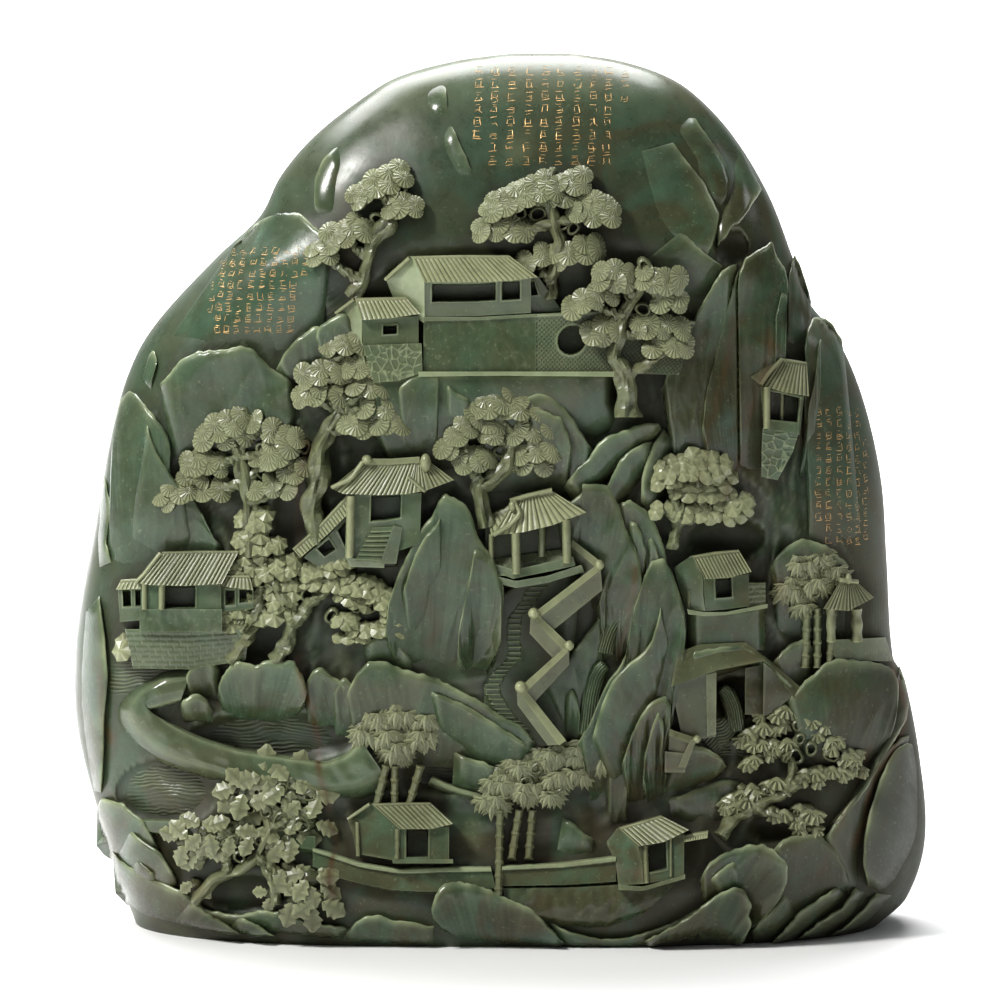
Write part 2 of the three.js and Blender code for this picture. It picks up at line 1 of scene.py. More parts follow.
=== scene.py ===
# %% [markdown]
# # A jade boulder carved with a mountain scene
# The object is one upright stone of dark green jade, about 43 cm high. Its front is carved in high
# relief with cliffs, pines, houses and water, and its back is left in broad plain faces.
# The solid model already gives its size. Here the same drawing is followed again with fine meshes:
# a smooth stone, creased rock faces laid on it, and then the buildings, trees and gilt strokes.

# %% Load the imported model
import math

import bpy
import numpy as np
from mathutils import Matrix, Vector
from mathutils.bvhtree import BVHTree


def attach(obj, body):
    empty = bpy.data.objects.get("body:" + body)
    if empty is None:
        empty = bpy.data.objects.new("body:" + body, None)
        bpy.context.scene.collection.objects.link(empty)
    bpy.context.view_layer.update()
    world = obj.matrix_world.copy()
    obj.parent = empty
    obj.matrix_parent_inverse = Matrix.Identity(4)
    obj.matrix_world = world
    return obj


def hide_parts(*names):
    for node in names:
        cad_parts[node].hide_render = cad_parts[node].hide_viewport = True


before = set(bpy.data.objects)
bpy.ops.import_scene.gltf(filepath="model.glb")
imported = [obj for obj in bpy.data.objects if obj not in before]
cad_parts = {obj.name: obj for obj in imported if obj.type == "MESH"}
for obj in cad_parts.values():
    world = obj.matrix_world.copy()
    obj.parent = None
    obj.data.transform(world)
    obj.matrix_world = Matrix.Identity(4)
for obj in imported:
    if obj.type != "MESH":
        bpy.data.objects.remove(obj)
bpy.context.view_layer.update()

# %% [markdown]
# ## The camera
# The picture was taken with a long lens, from a little above the middle of the stone. A camera six
# metres away with a narrow angle gives the same flat perspective, so that a place measured on the
# picture lands on the same place of the render.

# %% Camera
def add_object(name, data):
    """An object for a camera, a lamp or a mesh, put into the scene."""
    made = bpy.data.objects.new(name, data)
    bpy.context.scene.collection.objects.link(made)
    return made


VIEW_RISE = math.radians(8)
AIM = np.array([0.0, 0.0, 0.215])
CAMERA_DISTANCE = 6.0
HALF_FRAME = 0.25

lens = bpy.data.cameras.new("camera")
lens.angle = 2 * math.atan(HALF_FRAME / CAMERA_DISTANCE)
lens.clip_end = 40
camera = add_object("camera", lens)
camera.location = AIM + CAMERA_DISTANCE * np.array([0, -math.cos(VIEW_RISE), math.sin(VIEW_RISE)])
camera.rotation_euler = (math.pi / 2 - VIEW_RISE, 0, 0)
bpy.context.scene.camera = camera
print("camera angle in degrees:", round(math.degrees(lens.angle), 2))

# %% [markdown]
# ## The stone's outline and depth
# The boulder is a rounded slab. Its left and right edges are smooth curves over the height, and its
# depth follows a rounded section that is thinner at the top. The same few sizes and powers as in
# the solid model are used, in millimetres. The scene is cut back inside an oval on the front.

# %% Sizes of the stone
HEIGHT = 438
FRONT_DEPTH, BACK_DEPTH, BACK_RELIEF = 84, 74, 3.0
TOP_THINNING, FOOT_UNDERCUT, FOOT_ROUNDING = 0.22, 0.1, 18
RIM_POWER, FACE_POWER, DOME_POWER = 3, 2.2, 6
SCENE_DEPTH, SCENE_FADE = 14, 0.3
SCENE_MIDDLE, SCENE_REACH = (0, 188), (192, 172)
ROOTED = 13
FRONT, BACK = -1, 1
# The middle of the solid's footprint, measured from the drawing's own middle plane
SHIFT = np.array([0.70, 9.64, 0])
LEFT_EDGE = [
    (0, -184), (23, -193), (54, -202), (94, -212), (124, -214.3), (154, -212), (195, -204.5),
    (255, -193.5), (286, -183), (306, -170), (336, -142), (356, -121), (377, -110), (397, -93),
    (417, -67.5), (427, -50), (434.5, -22), (438, 3),
]
RIGHT_EDGE = [
    (0, 190), (13, 204), (43, 213), (84, 210), (124, 202), (134, 196.5), (185, 193), (225, 190),
    (266, 180.5), (296, 167.5), (313, 154), (336, 145.5), (367, 133.5), (397, 115.5), (417, 97),
    (427, 81.5), (434.5, 58.5), (438, 36),
]

# Hollows of the front, as across, up, half width, half height and depth
HOLLOWS = [
    (-115, 93, 42, 13, 9), (-167, 66, 26, 17, 7), (-30, 75, 17, 10, 10), (112, 192, 20, 11, 10),
    (-15, 313, 50, 22, 4), (-128, 16, 20, 9, 8), (136, 49, 13, 8, 8), (-119, 143, 18, 12, 6),
    (-100, 203, 14, 20, 6), (25, 232, 22, 8, 5), (117, 113, 13, 11, 13), (114, 337, 9, 9, 7),
]
widest = max(x for _, x in RIGHT_EDGE) - min(x for _, x in LEFT_EDGE)
print("drawn outline in mm: height", HEIGHT, "widest", widest, "hollows", len(HOLLOWS))

# %% Curves and waves
def smooth(points, at):
    """Value at each place on a cubic curve that passes the [place, value] points."""
    x, y = np.array(points, float).T
    slope = np.gradient(y, x)
    slope[1:-1] = (y[2:] - y[:-2]) / (x[2:] - x[:-2])
    i = np.clip(np.searchsorted(x, at) - 1, 0, len(x) - 2)
    span = x[i + 1] - x[i]
    t = np.clip((at - x[i]) / span, 0, 1)
    bend = t * t * (3 - 2 * t)
    return y[i] + (y[i + 1] - y[i]) * bend + span * t * (1 - t) * ((1 - t) * slope[i] - t * slope[i + 1])


def step(value, low, high):
    """Rises smoothly from 0 at low to 1 at high: 3t^2 - 2t^3."""
    t = np.clip((value - low) / (high - low), 0, 1)
    return t * t * (3 - 2 * t)


# How many waves are summed, and what their sum is divided by to stay within about 1
FULL_TURN, WAVES, CALMED = 6.283, 9, 3.6


def uneven(u, v, size, seed):
    """Unevenness from about -1 to 1: nine sine waves of about the given length, in seeded directions."""
    dice = np.random.default_rng(seed)
    turns = dice.uniform(0, FULL_TURN, WAVES)
    lengths = size * dice.uniform(0.6, 1.7, WAVES)
    starts = dice.uniform(0, FULL_TURN, WAVES)
    waves = [np.sin(FULL_TURN * (u * math.cos(a) + v * math.sin(a)) / n + s)
             for a, n, s in zip(turns, lengths, starts)]
    return sum(waves) / CALMED


print("the left edge at half height, mm:", round(float(smooth(LEFT_EDGE, HEIGHT / 2)), 1))

# %% Depth of the stone
def full_depth(z, side):
    """Depth at the middle of the stone: thinner with height, domed at the top, drawn in at the foot."""
    share = np.clip(z / HEIGHT, 0, 1)
    thinning = 1 - TOP_THINNING * share ** 1.5
    dome = np.sqrt(np.maximum(1 - share ** DOME_POWER, 0))
    foot = 1 - FOOT_UNDERCUT * np.exp(-z / FOOT_ROUNDING)
    return (FRONT_DEPTH if side == FRONT else BACK_DEPTH) * thinning * dome * foot


def inside_scene(x, z):
    """1 in the middle of the scene's oval, where |x / a|^3 + |z / b|^3 = 1, falling to 0 at its edge."""
    reach = (np.abs((x - SCENE_MIDDLE[0]) / SCENE_REACH[0]) ** RIM_POWER
             + np.abs((z - SCENE_MIDDLE[1]) / SCENE_REACH[1]) ** RIM_POWER) ** (1 / RIM_POWER)
    return 1 - step(reach, 1 - SCENE_FADE, 1)


def surface_depth(x, z, side):
    """Distance from the middle plane: full depth times (1 - out^3)^(1/2.2), plus shallow waves that
    fade out at the rim, less the scene's cut. The back is softly held to leave room for its faces."""
    left, right = smooth(LEFT_EDGE, z), smooth(RIGHT_EDGE, z)
    out = np.minimum(np.abs(x - (left + right) / 2) / ((right - left) / 2), 1)
    plain = full_depth(z, side) * (1 - out ** RIM_POWER) ** (1 / FACE_POWER)
    waves = 0.7 * uneven(x, z, 85, 1) + 0.25 * uneven(x, z, 26, 2)
    plain = plain + waves * (1 - out ** 6) * step(z, 0, 20) * (1 - step(z, 415, 436))
    if side == BACK:
        return plain - np.log1p(np.exp(plain - BACK_DEPTH + BACK_RELIEF))
    return plain - np.minimum(SCENE_DEPTH * inside_scene(x, z), plain / 2)


print("full depth at the foot and half way up, mm:",
      [round(float(full_depth(z, FRONT)), 1) for z in (0, HEIGHT / 2)])

# %% [markdown]
# The picture looks down a little, so a point that stands out shows lower on it than one that lies
# deep. Each drawn point is carried back along the line of sight until it meets the stone. This one
# helper lets all the pieces be given as they are drawn, flat, and still sit on what carries them.

# %% From the drawing to the stone
def place(across, up, proud=0.0, side=FRONT):
    """A point of the drawing carried back along the line of sight to the stone, then out by its
    proud height: z = (up + depth sin 8) / cos 8, repeated until depth and height agree."""
    x, up, proud = np.broadcast_arrays(*(np.asarray(v, float) for v in (across, up, proud)))
    z = up.copy()
    if side == BACK:
        return np.stack([x, surface_depth(x, z, BACK) + proud, z], -1)
    for _ in range(5):
        depth = surface_depth(x, z, FRONT) + proud
        z = np.maximum((up + depth * math.sin(VIEW_RISE)) / math.cos(VIEW_RISE), 0)
    return np.stack([x, -depth, z], -1)


middle_depth = surface_depth(np.array(0.0), np.array(HEIGHT / 2), FRONT)
print("depth in front at mid height, mm:", round(float(middle_depth), 1))

# %% [markdown]
# ## Turning arrays into closed meshes
# Every shape is one of three kinds. A sheet is a grid of points with walls behind its border, used
# for rock faces, roofs and water. A shell is a row of rings with closed ends, used for trunks and
# rounded lumps. A scatter is one small closed leaf, copied to many places. Each shape carries how
# light it is. This is partly the paler thin edges and high relief of the real jade, and partly
# painted light: paler on crests and on what faces up or out, as painted highlights, and darker
# underneath, inside openings and in grooves, as painted shade.

# %% Closed shapes
def six_volumes(points, faces):
    """Six times the volume inside the faces: the sum of a . (b x c), and of a . (c x d) for the
    second half of a face with four corners. It is above 0 where the faces point outwards."""
    a, b, c = points[faces[:, 0]], points[faces[:, 1]], points[faces[:, 2]]
    volume = np.einsum("ij,ij->i", a, np.cross(b, c)).sum()
    if faces.shape[1] == 4:
        d = points[faces[:, 3]]
        volume += np.einsum("ij,ij->i", a, np.cross(c, d)).sum()
    return volume


def shape(points, light, *face_sets):
    """A closed shape as points, lightness and faces, with the faces turned outwards."""
    points = np.asarray(points, float)
    volume = sum(six_volumes(points - points.mean(0), faces) for faces in face_sets)
    turned = [faces if volume > 0 else faces[:, ::-1] for faces in face_sets]
    return points, np.broadcast_to(np.asarray(light, float), len(points)).copy(), turned


CORNER = np.array([[0, 0, 0], [1, 0, 0], [0, 1, 0], [0, 0, 1]])
CORNER_FACES = np.array([[0, 2, 1], [0, 1, 3], [0, 3, 2], [1, 2, 3]])
print("six volumes of the corner of a box:", six_volumes(CORNER, CORNER_FACES))

# %% Sheets and shells
def sheet(front, back, light=0.0):
    """A grid of points closed by walls from its border to the border of the back grid."""
    rows, columns = front.shape[:2]
    index = np.arange(rows * columns).reshape(rows, columns)
    ring = np.concatenate([index[0, :-1], index[:-1, -1], index[-1, :0:-1], index[:0:-1, 0]])
    behind = rows * columns + np.arange(len(ring))
    rear = back.reshape(-1, 3)[ring]
    points = np.concatenate([front.reshape(-1, 3), rear, rear.mean(0)[None]])
    grid = np.stack([index[:-1, :-1], index[:-1, 1:], index[1:, 1:], index[1:, :-1]], -1).reshape(-1, 4)
    wall = np.stack([np.roll(ring, -1), ring, behind, np.roll(behind, -1)], -1)
    lid = np.stack([np.roll(behind, -1), behind, np.full(len(ring), len(points) - 1)], -1)
    lights = np.zeros(len(points))
    lights[:rows * columns] = np.broadcast_to(light, (rows, columns)).ravel()
    lights[rows * columns:-1] = lights[ring]
    return shape(points, lights, grid, wall, lid)


def shell(rings, light=0.0):
    """Rings of points joined in order, with the first and last ring closed at their middle."""
    count, around = rings.shape[:2]
    index = np.arange(count * around).reshape(count, around)
    after = np.roll(index, -1, 1)
    points = np.concatenate([rings.reshape(-1, 3), rings[0].mean(0)[None], rings[-1].mean(0)[None]])
    grid = np.stack([index[:-1], after[:-1], after[1:], index[1:]], -1).reshape(-1, 4)
    first = np.stack([after[0], index[0], np.full(around, count * around)], -1)
    last = np.stack([index[-1], after[-1], np.full(around, count * around + 1)], -1)
    lights = np.broadcast_to(light, (count, around)).ravel()
    lights = np.concatenate([lights, [lights[0], lights[-1]]])
    return shape(points, lights, grid, first, last)


def seen(points):
    """Where points of the front lie on the drawing: across = x, up = z cos 8 + y sin 8."""
    return points[:, 0], points[:, 2] * math.cos(VIEW_RISE) + points[:, 1] * math.sin(VIEW_RISE)


nine = np.stack(np.meshgrid([0.0, 1, 2], [0.0, 1, 2], [0.0], indexing="ij"), -1)[:, :, 0]
print("faces that close a sheet of nine points:", [len(faces) for faces in sheet(nine + (0, 0, 1), nine)[2]])

# %% [markdown]
# The russet veins are iron stains that run through the whole stone, over rock, wall and leaf alike.
# They are kept as lines on the drawing, and each mesh point stores how near it is to one, so a vein
# passes unbroken from one piece to the next.

# %% Veins
VEINS = [
    ([(-101, 133), (-97, 118), (-92.5, 103), (-91, 83), (-87.5, 63), (-83.5, 38), (-84, 14)], 1.7, 0.9),
    ([(-101, 190), (-100, 215), (-97, 240)], 2.2, 0.6),
    ([(-82, 372), (-76, 340), (-74, 300)], 3.0, 0.3),
    ([(-36, 160), (-33, 148), (-36, 140)], 3.0, 0.5),
    ([(66, 178), (62, 150), (58, 135)], 1.6, 0.6),
    ([(118, 300), (107, 262), (98, 222)], 2.4, 0.5),
    ([(134, 296), (126, 262), (118, 230), (112, 214)], 2.6, 0.6),
    ([(152, 300), (157, 270), (147, 240)], 2.4, 0.5),
    ([(196, 130), (200, 116), (203, 100), (188, 76), (176, 40)], 1.8, 0.8),
    ([(-202, 130), (-200, 112), (-196, 92)], 2.2, 0.6),
    ([(138, 170), (141, 150), (136, 128)], 2.4, 0.4),
    ([(160, 26), (172, 60), (184, 88)], 2.0, 0.5),
    ([(60, 90), (75, 78), (108, 84)], 1.6, 0.5),
    ([(20, 33), (40, 31), (70, 26)], 2.2, 0.4),
]


def vein_share(points):
    """Nearness to the veins: the largest strength times exp(-(distance / width)^2)."""
    across, up = seen(points)
    wander = 1.6 * uneven(across, up, 22, 5)
    best = np.zeros(len(points))
    for line, width, strength in VEINS:
        line = np.array(line, float)
        for start, end in zip(line[:-1], line[1:]):
            way = end - start
            t = np.clip(((across - start[0]) * way[0] + (up - start[1]) * way[1]) / (way @ way), 0, 1)
            gap = np.hypot(across - start[0] - t * way[0] + wander, up - start[1] - t * way[1])
            best = np.maximum(best, strength * np.exp(-((gap / width) ** 2)))
    return np.where(points[:, 1] < 10, best, 0)


print("veins", len(VEINS))

# %% [markdown]
# Crisp edges of the carving are painted paler, as a painted highlight, and its creases darker, as
# painted shade. Both follow from how far each point stands out of its neighbours, which is stored
# on the mesh for the finishes.
# Every piece is then made the same way: arrays go into a mesh, and the piece rides on the stone.

# %% Piece builder
# The length of edge in mm up to which a crisp form counts, and how dark the painted shade in its creases is
CRISP_EDGE, CREASE_SHADE = 2.5, 2.2


def edge_highlight_and_crease_shade(mesh, points):
    """How far each point stands out of its neighbours: the mean of -(way . normal) over its edges,
    in which short edges count most, so that only the crisp small forms are found."""
    ends = np.empty(len(mesh.edges) * 2, np.int32)
    mesh.edges.foreach_get("vertices", ends)
    ends = ends.reshape(-1, 2)
    normals = np.empty(len(points) * 3, np.float32)
    mesh.vertex_normals.foreach_get("vector", normals)
    normals = normals.reshape(-1, 3)
    way = points[ends[:, 1]] - points[ends[:, 0]]
    length = np.maximum(np.linalg.norm(way, axis=1), 1e-6)
    weight = np.exp(-((length / CRISP_EDGE) ** 2))
    total, share = np.zeros(len(points)), np.full(len(points), 0.15)
    for start, sign in ((0, -1), (1, 1)):
        at = ends[:, start]
        bend = sign * np.einsum("ij,ij->i", way, normals[at]) / length
        total += np.bincount(at, bend * weight, len(points))
        share += np.bincount(at, weight, len(points))
    return total / share


jade_pieces = []


def piece(name, shapes, material, slot="jade", crease=None, flat=False, edges_light=0.8):
    """Joins closed shapes into one object in metres, in the solid model's frame, riding on the stone.
    A crease in degrees keeps steeper edges sharp, and flat leaves every face with its own edge."""
    points = np.concatenate([s[0] for s in shapes])
    lights = np.concatenate([s[1] for s in shapes])
    offsets = np.cumsum([0] + [len(s[0]) for s in shapes[:-1]])
    faces = [f + offset for s, offset in zip(shapes, offsets) for f in s[2]]
    sizes = np.concatenate([np.full(len(f), f.shape[1]) for f in faces])
    corners = np.concatenate([f.ravel() for f in faces])
    mesh = bpy.data.meshes.new(name)
    mesh.vertices.add(len(points))
    mesh.vertices.foreach_set("co", ((points + SHIFT) / 1000).astype(np.float32).ravel())
    mesh.loops.add(len(corners))
    mesh.loops.foreach_set("vertex_index", corners.astype(np.int32))
    mesh.polygons.add(len(sizes))
    mesh.polygons.foreach_set("loop_start", (np.cumsum(sizes) - sizes).astype(np.int32))
    mesh.polygons.foreach_set("use_smooth", np.full(len(sizes), not flat))
    mesh.update(calc_edges=True)
    # How far each point stands out: it paints a highlight on crisp edges and shade in their creases.
    worn = edge_highlight_and_crease_shade(mesh, points)
    lights = np.clip(lights + edges_light * np.clip(worn, -0.5, 0.5), 0, 1)
    shade_and_dust = np.clip(-CREASE_SHADE * worn, 0, 1)
    for label, values in (("light", lights), ("shade_and_dust", shade_and_dust), ("vein", vein_share(points))):
        mesh.attributes.new(label, "FLOAT", "POINT").data.foreach_set("value", values.astype(np.float32))
    if crease:
        mesh.set_sharp_from_angle(angle=math.radians(crease))
    mesh.materials.append(material)
    made = add_object(name, mesh)
    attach(made, "root")
    if slot == "jade":
        jade_pieces.append(made)
    low, high = np.round(points.min(0) + SHIFT, 1), np.round(points.max(0) + SHIFT, 1)
    print(name, "points", len(points), "triangles", int((sizes - 2).sum()), "low", low, "high", high)
    return made


print("pieces made so far:", len(jade_pieces))

# %% [markdown]
# ## Jade and gilt
# The jade is a dark grey-green, clouded with bluer and yellower parts, flecked, and stained russet
# along its veins. It is polished, so the gloss comes from the shader and the lamps. The clouds and
# flecks are noise on Object coordinates. The paler relief with its painted highlights, the painted
# shade and dust in its creases and hollows, and the veins come from the three attributes stored on
# the meshes, because noise doesn't know the carving.

# %% Node helpers
def new_finish(name):
    """A material, its node tree, its shader, and the socket that gives the place on the object."""
    material = bpy.data.materials.new(name)
    material.use_nodes = True
    tree = material.node_tree
    where = tree.nodes.new("ShaderNodeTexCoord").outputs["Object"]
    return material, tree, tree.nodes["Principled BSDF"], where


def link_in(tree, target, value):
    """Feeds a socket with another socket, or sets its own value."""
    if isinstance(value, bpy.types.NodeSocket):
        tree.links.new(value, target)
    else:
        target.default_value = value


def noise(tree, where, size, detail, roughness=0.6, distortion=0.0):
    """Noise whose patches are about size metres wide."""
    made = tree.nodes.new("ShaderNodeTexNoise")
    tree.links.new(where, made.inputs["Vector"])
    made.inputs["Scale"].default_value = 1 / size
    made.inputs["Detail"].default_value = detail
    made.inputs["Roughness"].default_value = roughness
    made.inputs["Distortion"].default_value = distortion
    return made.outputs["Fac"]


def ranged(tree, value, low, high, to_low=0.0, to_high=1.0):
    """Maps a value from one range to another, held at the ends."""
    made = tree.nodes.new("ShaderNodeMapRange")
    settings = {"Value": value, "From Min": low, "From Max": high, "To Min": to_low, "To Max": to_high}
    for name, v in settings.items():
        link_in(tree, made.inputs[name], v)
    return made.outputs["Result"]


def blended(tree, share, first, second, kind="MIX"):
    """First colour turned into the second by a share."""
    made = tree.nodes.new("ShaderNodeMix")
    made.data_type, made.blend_type = "RGBA", kind
    link_in(tree, made.inputs["Factor"], share)
    link_in(tree, made.inputs["A"], first if isinstance(first, bpy.types.NodeSocket) else (*first, 1))
    link_in(tree, made.inputs["B"], second if isinstance(second, bpy.types.NodeSocket) else (*second, 1))
    return made.outputs["Result"]


def times(tree, first, second, operation="MULTIPLY"):
    """Product of two sockets or numbers."""
    made = tree.nodes.new("ShaderNodeMath")
    made.operation = operation
    link_in(tree, made.inputs[0], first)
    link_in(tree, made.inputs[1], second)
    return made.outputs[0]


def plus(tree, first, second):
    """Sum of two sockets or numbers."""
    return times(tree, first, second, "ADD")


def stored(tree, name):
    """The value that each mesh point carries under this name."""
    made = tree.nodes.new("ShaderNodeAttribute")
    made.attribute_name = name
    return made.outputs["Fac"]


print("node helpers:", [helper.__name__ for helper in (noise, ranged, blended, times, plus, stored)])

# %% Jade
# The tone of the painted shade at the right edge and the right corner of the foot
SIDE_SHADE = (0.020, 0.018, 0.008)
# Russet of the veins, the tone of the painted shade and dust in creases and hollows, and olive
RUSSET, SHADE_AND_DUST_TONE, OLIVE = (0.070, 0.034, 0.013), (0.017, 0.0135, 0.005), (0.050, 0.040, 0.015)
# Widths of the patterns in metres, from the clouds down to the flecks
CLOUD, OLIVE_PATCH, MOTTLE, BROKEN_STAIN, GRAIN, FLECK = 0.11, 0.035, 0.014, 0.009, 0.006, 0.0022


def ground_colour(tree, where, x, z, deep, blue):
    """Clouds of a deep and a bluer green, with olive patches that grow towards the right and the foot,
    and a dark band at the right edge and the right corner of the foot. The olive patches are the
    stone's own; their growth to the right and foot and the dark band are painted shade of the side
    turned away from the key lamp."""
    clouds = ranged(tree, noise(tree, where, CLOUD, 4, 0.55, 0.6), 0.36, 0.64)
    colour = blended(tree, clouds, deep, blue)
    browner = ranged(tree, noise(tree, where, OLIVE_PATCH, 6, 0.65, 0.8), 0.41, 0.58)
    # More olive towards the right and the foot: partly painted shade
    to_right, to_foot = ranged(tree, x, -0.04, 0.16, 0.45, 1.0), ranged(tree, z, 0.03, 0.16, 0.6, 0.0)
    colour = blended(tree, times(tree, browner, plus(tree, to_right, to_foot)), colour, OLIVE)
    # A dark band at the right edge and the right corner of the foot: painted shade
    foot_corner = times(tree, ranged(tree, x, 0.06, 0.14, 0.0, 0.55), ranged(tree, z, 0.05, 0.14, 1.0, 0.0))
    edge = ranged(tree, x, 0.16, 0.205, 0.0, 0.75)
    return blended(tree, plus(tree, foot_corner, edge), colour, SIDE_SHADE)


def carved_colour(tree, where, mottle, colour, deep, pale):
    """The ground colour under a dark mottle, paler where the stored light is high: partly the pale thin
    and high relief, partly painted highlight. With pale flecks, painted shade and dust in the creases
    and hollows, and russet along the veins."""
    colour = blended(tree, ranged(tree, mottle, 0.3, 0.7, 0.6, 0.0), colour, tuple(0.4 * v for v in deep))
    # The stored light paints highlights on crisp edges, crests and faces turned up or out
    light = times(tree, stored(tree, "light"), ranged(tree, mottle, 0.25, 0.75, 0.6, 1.1))
    colour = blended(tree, light, colour, pale)
    flecks = ranged(tree, noise(tree, where, FLECK, 3, 0.6), 0.62, 0.74)
    colour = blended(tree, times(tree, flecks, 0.16), colour, tuple(min(1.0, 1.5 * v) for v in pale))
    # Painted shade, with some dust, in creases and hollows
    shade_and_dust = times(tree, stored(tree, "shade_and_dust"), ranged(tree, mottle, 0.3, 0.7, 0.9, 0.4))
    colour = blended(tree, shade_and_dust, colour, SHADE_AND_DUST_TONE)
    broken = ranged(tree, noise(tree, where, BROKEN_STAIN, 5, 0.7), 0.3, 0.6, 0.3, 1.0)
    return blended(tree, times(tree, stored(tree, "vein"), broken), colour, RUSSET)


def jade(name, deep, blue, pale, gloss, grain):
    """Jade whose gloss varies with its mottle, duller in the creases and at the worn right edge, and
    with a fine grain as bump."""
    material, tree, shader, where = new_finish(name)
    aside = tree.nodes.new("ShaderNodeSeparateXYZ")
    tree.links.new(where, aside.inputs[0])
    x, z = aside.outputs["X"], aside.outputs["Z"]
    mottle = noise(tree, where, MOTTLE, 6, 0.7)
    colour = ground_colour(tree, where, x, z, deep, blue)
    colour = carved_colour(tree, where, mottle, colour, deep, pale)
    tree.links.new(colour, shader.inputs["Base Color"])
    dull = times(tree, stored(tree, "shade_and_dust"), 0.3)
    gloss = ranged(tree, mottle, 0.25, 0.75, gloss - 0.06, gloss + 0.1)
    worn = ranged(tree, x, 0.13, 0.20, 0.0, 0.33)
    tree.links.new(plus(tree, plus(tree, dull, gloss), worn), shader.inputs["Roughness"])
    shader.inputs["IOR"].default_value = 1.61
    shader.inputs["Specular IOR Level"].default_value = 0.30
    bump = tree.nodes.new("ShaderNodeBump")
    bump.inputs["Strength"].default_value = grain
    bump.inputs["Distance"].default_value = 0.0006
    tree.links.new(noise(tree, where, GRAIN, 5, 0.6), bump.inputs["Height"])
    tree.links.new(bump.outputs["Normal"], shader.inputs["Normal"])
    return material


polished_jade = jade("polished_jade", deep=(0.036, 0.062, 0.027), blue=(0.043, 0.078, 0.047),
                     pale=(0.20, 0.24, 0.13), gloss=0.27, grain=0.10)
rock_jade = jade("rock_face_jade", deep=(0.043, 0.076, 0.034), blue=(0.054, 0.100, 0.060),
                 pale=(0.30, 0.35, 0.20), gloss=0.20, grain=0.20)
relief_jade = jade("high_relief_jade", deep=(0.051, 0.065, 0.028), blue=(0.062, 0.087, 0.046),
                   pale=(0.31, 0.33, 0.18), gloss=0.28, grain=0.25)
print("jade finishes:", [made.name for made in (polished_jade, rock_jade, relief_jade)])

# %% [markdown]
# Gold leaf was rubbed into the cut strokes and has mostly worn off. A pure metal would look too new,
# so the finish is a dull gold that is only partly metallic and turns to a browner ground in patches.

# %% Gilt
def worn_gilt(name):
    """Thin gold colour, rubbed through in places to a browner ground."""
    material, tree, shader, where = new_finish(name)
    rubbed = ranged(tree, noise(tree, where, 0.004, 5, 0.7), 0.4, 0.62)
    tree.links.new(blended(tree, rubbed, (0.62, 0.38, 0.14), (0.30, 0.20, 0.08)), shader.inputs["Base Color"])
    tree.links.new(ranged(tree, rubbed, 0, 1, 0.38, 0.6), shader.inputs["Roughness"])
    shader.inputs["Metallic"].default_value = 0.35
    return material


gilt = worn_gilt("worn_gilt")
print("gilt finish with nodes:", len(gilt.node_tree.nodes))

# %% [markdown]
# ## The stone itself
# The plain body is one closed surface of two parameters: the turn around the stone and the height.
# Rows stand closer near the top, where the dome closes. Shallow waves keep the polish from looking
# machined, and soft hollows sink the lakes, the pond and the dark places under the trees.

# %% Body
def hollow_depth(across, up):
    """How far the hollows sink: for each, depth times sqrt(1 - r^2) inside its oval."""
    sunk = np.zeros_like(across)
    for x, z, half_width, half_height, depth in HOLLOWS:
        r = ((across - x) / half_width) ** 2 + ((up - z) / half_height) ** 2
        sunk = np.maximum(sunk, depth * np.sqrt(np.maximum(1 - r, 0)))
    return sunk


def folds(across, up):
    """Steep folds of rock: height (1 - |waves|)^2 over a slanted, stretched plane, in two sizes."""
    aside = across + 0.25 * up + 6 * uneven(across, up, 70, 31)
    broad = 1 - np.abs(uneven(aside, 0.25 * up, 22, 32))
    narrow = 1 - np.abs(uneven(aside, 0.3 * up, 9, 33))
    return 3.4 * broad ** 2 + 1.1 * narrow ** 2 - 2.2


def body():
    """Rings around the stone: x = middle + half width * sign(cos t)|cos t|^(2/3), y = depth at x."""
    front_turns = -np.pi + np.pi * np.arange(224) / 224
    back_turns = np.pi * np.arange(84) / 84
    turn = np.concatenate([front_turns, back_turns])
    rise = np.linspace(0.60, 0.02, 34)
    share = np.concatenate([np.linspace(0, 1, 168) * 0.928, (1 - rise ** 2) ** (1 / DOME_POWER)])
    z, turn = np.meshgrid(share * HEIGHT, turn, indexing="ij")
    left, right = smooth(LEFT_EDGE, z), smooth(RIGHT_EDGE, z)
    across = np.sign(np.cos(turn)) * np.abs(np.cos(turn)) ** (2 / RIM_POWER)
    x = (left + right) / 2 + across * (right - left) / 2
    front = np.sin(turn) < 0
    depth = np.where(front, surface_depth(x, z, FRONT), surface_depth(x, z, BACK))
    up = z * math.cos(VIEW_RISE) - depth * math.sin(VIEW_RISE)
    sunk = hollow_depth(x, up)
    depth = depth - np.where(front, sunk - folds(x, up) * inside_scene(x, z) * (sunk < 0.1), 0)
    y = np.where(front, -depth, depth) * (np.abs(np.sin(turn)) > 1e-9)
    # Painted highlight: paler towards the left and right rim and at the top of the dome
    rim = 0.10 * np.clip(np.abs(across) * 1.5 - 0.9, 0, 1)
    return shell(np.stack([x, y, z], -1), rim + 0.25 * step(z, 405, 436))


stone = piece("stone", [body()], polished_jade)
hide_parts("jade_boulder")

# %% [markdown]
# ## Rock faces
# The carver cut the mountain as overlapping flakes. Each has a crisp upper edge and a face that
# sinks away below it. The edge is painted pale, partly for the thin stone and partly as a painted
# highlight. A displaced plane would blur those edges, so each flake is its own sheet: one parameter
# runs along the ridge and one runs down the face.

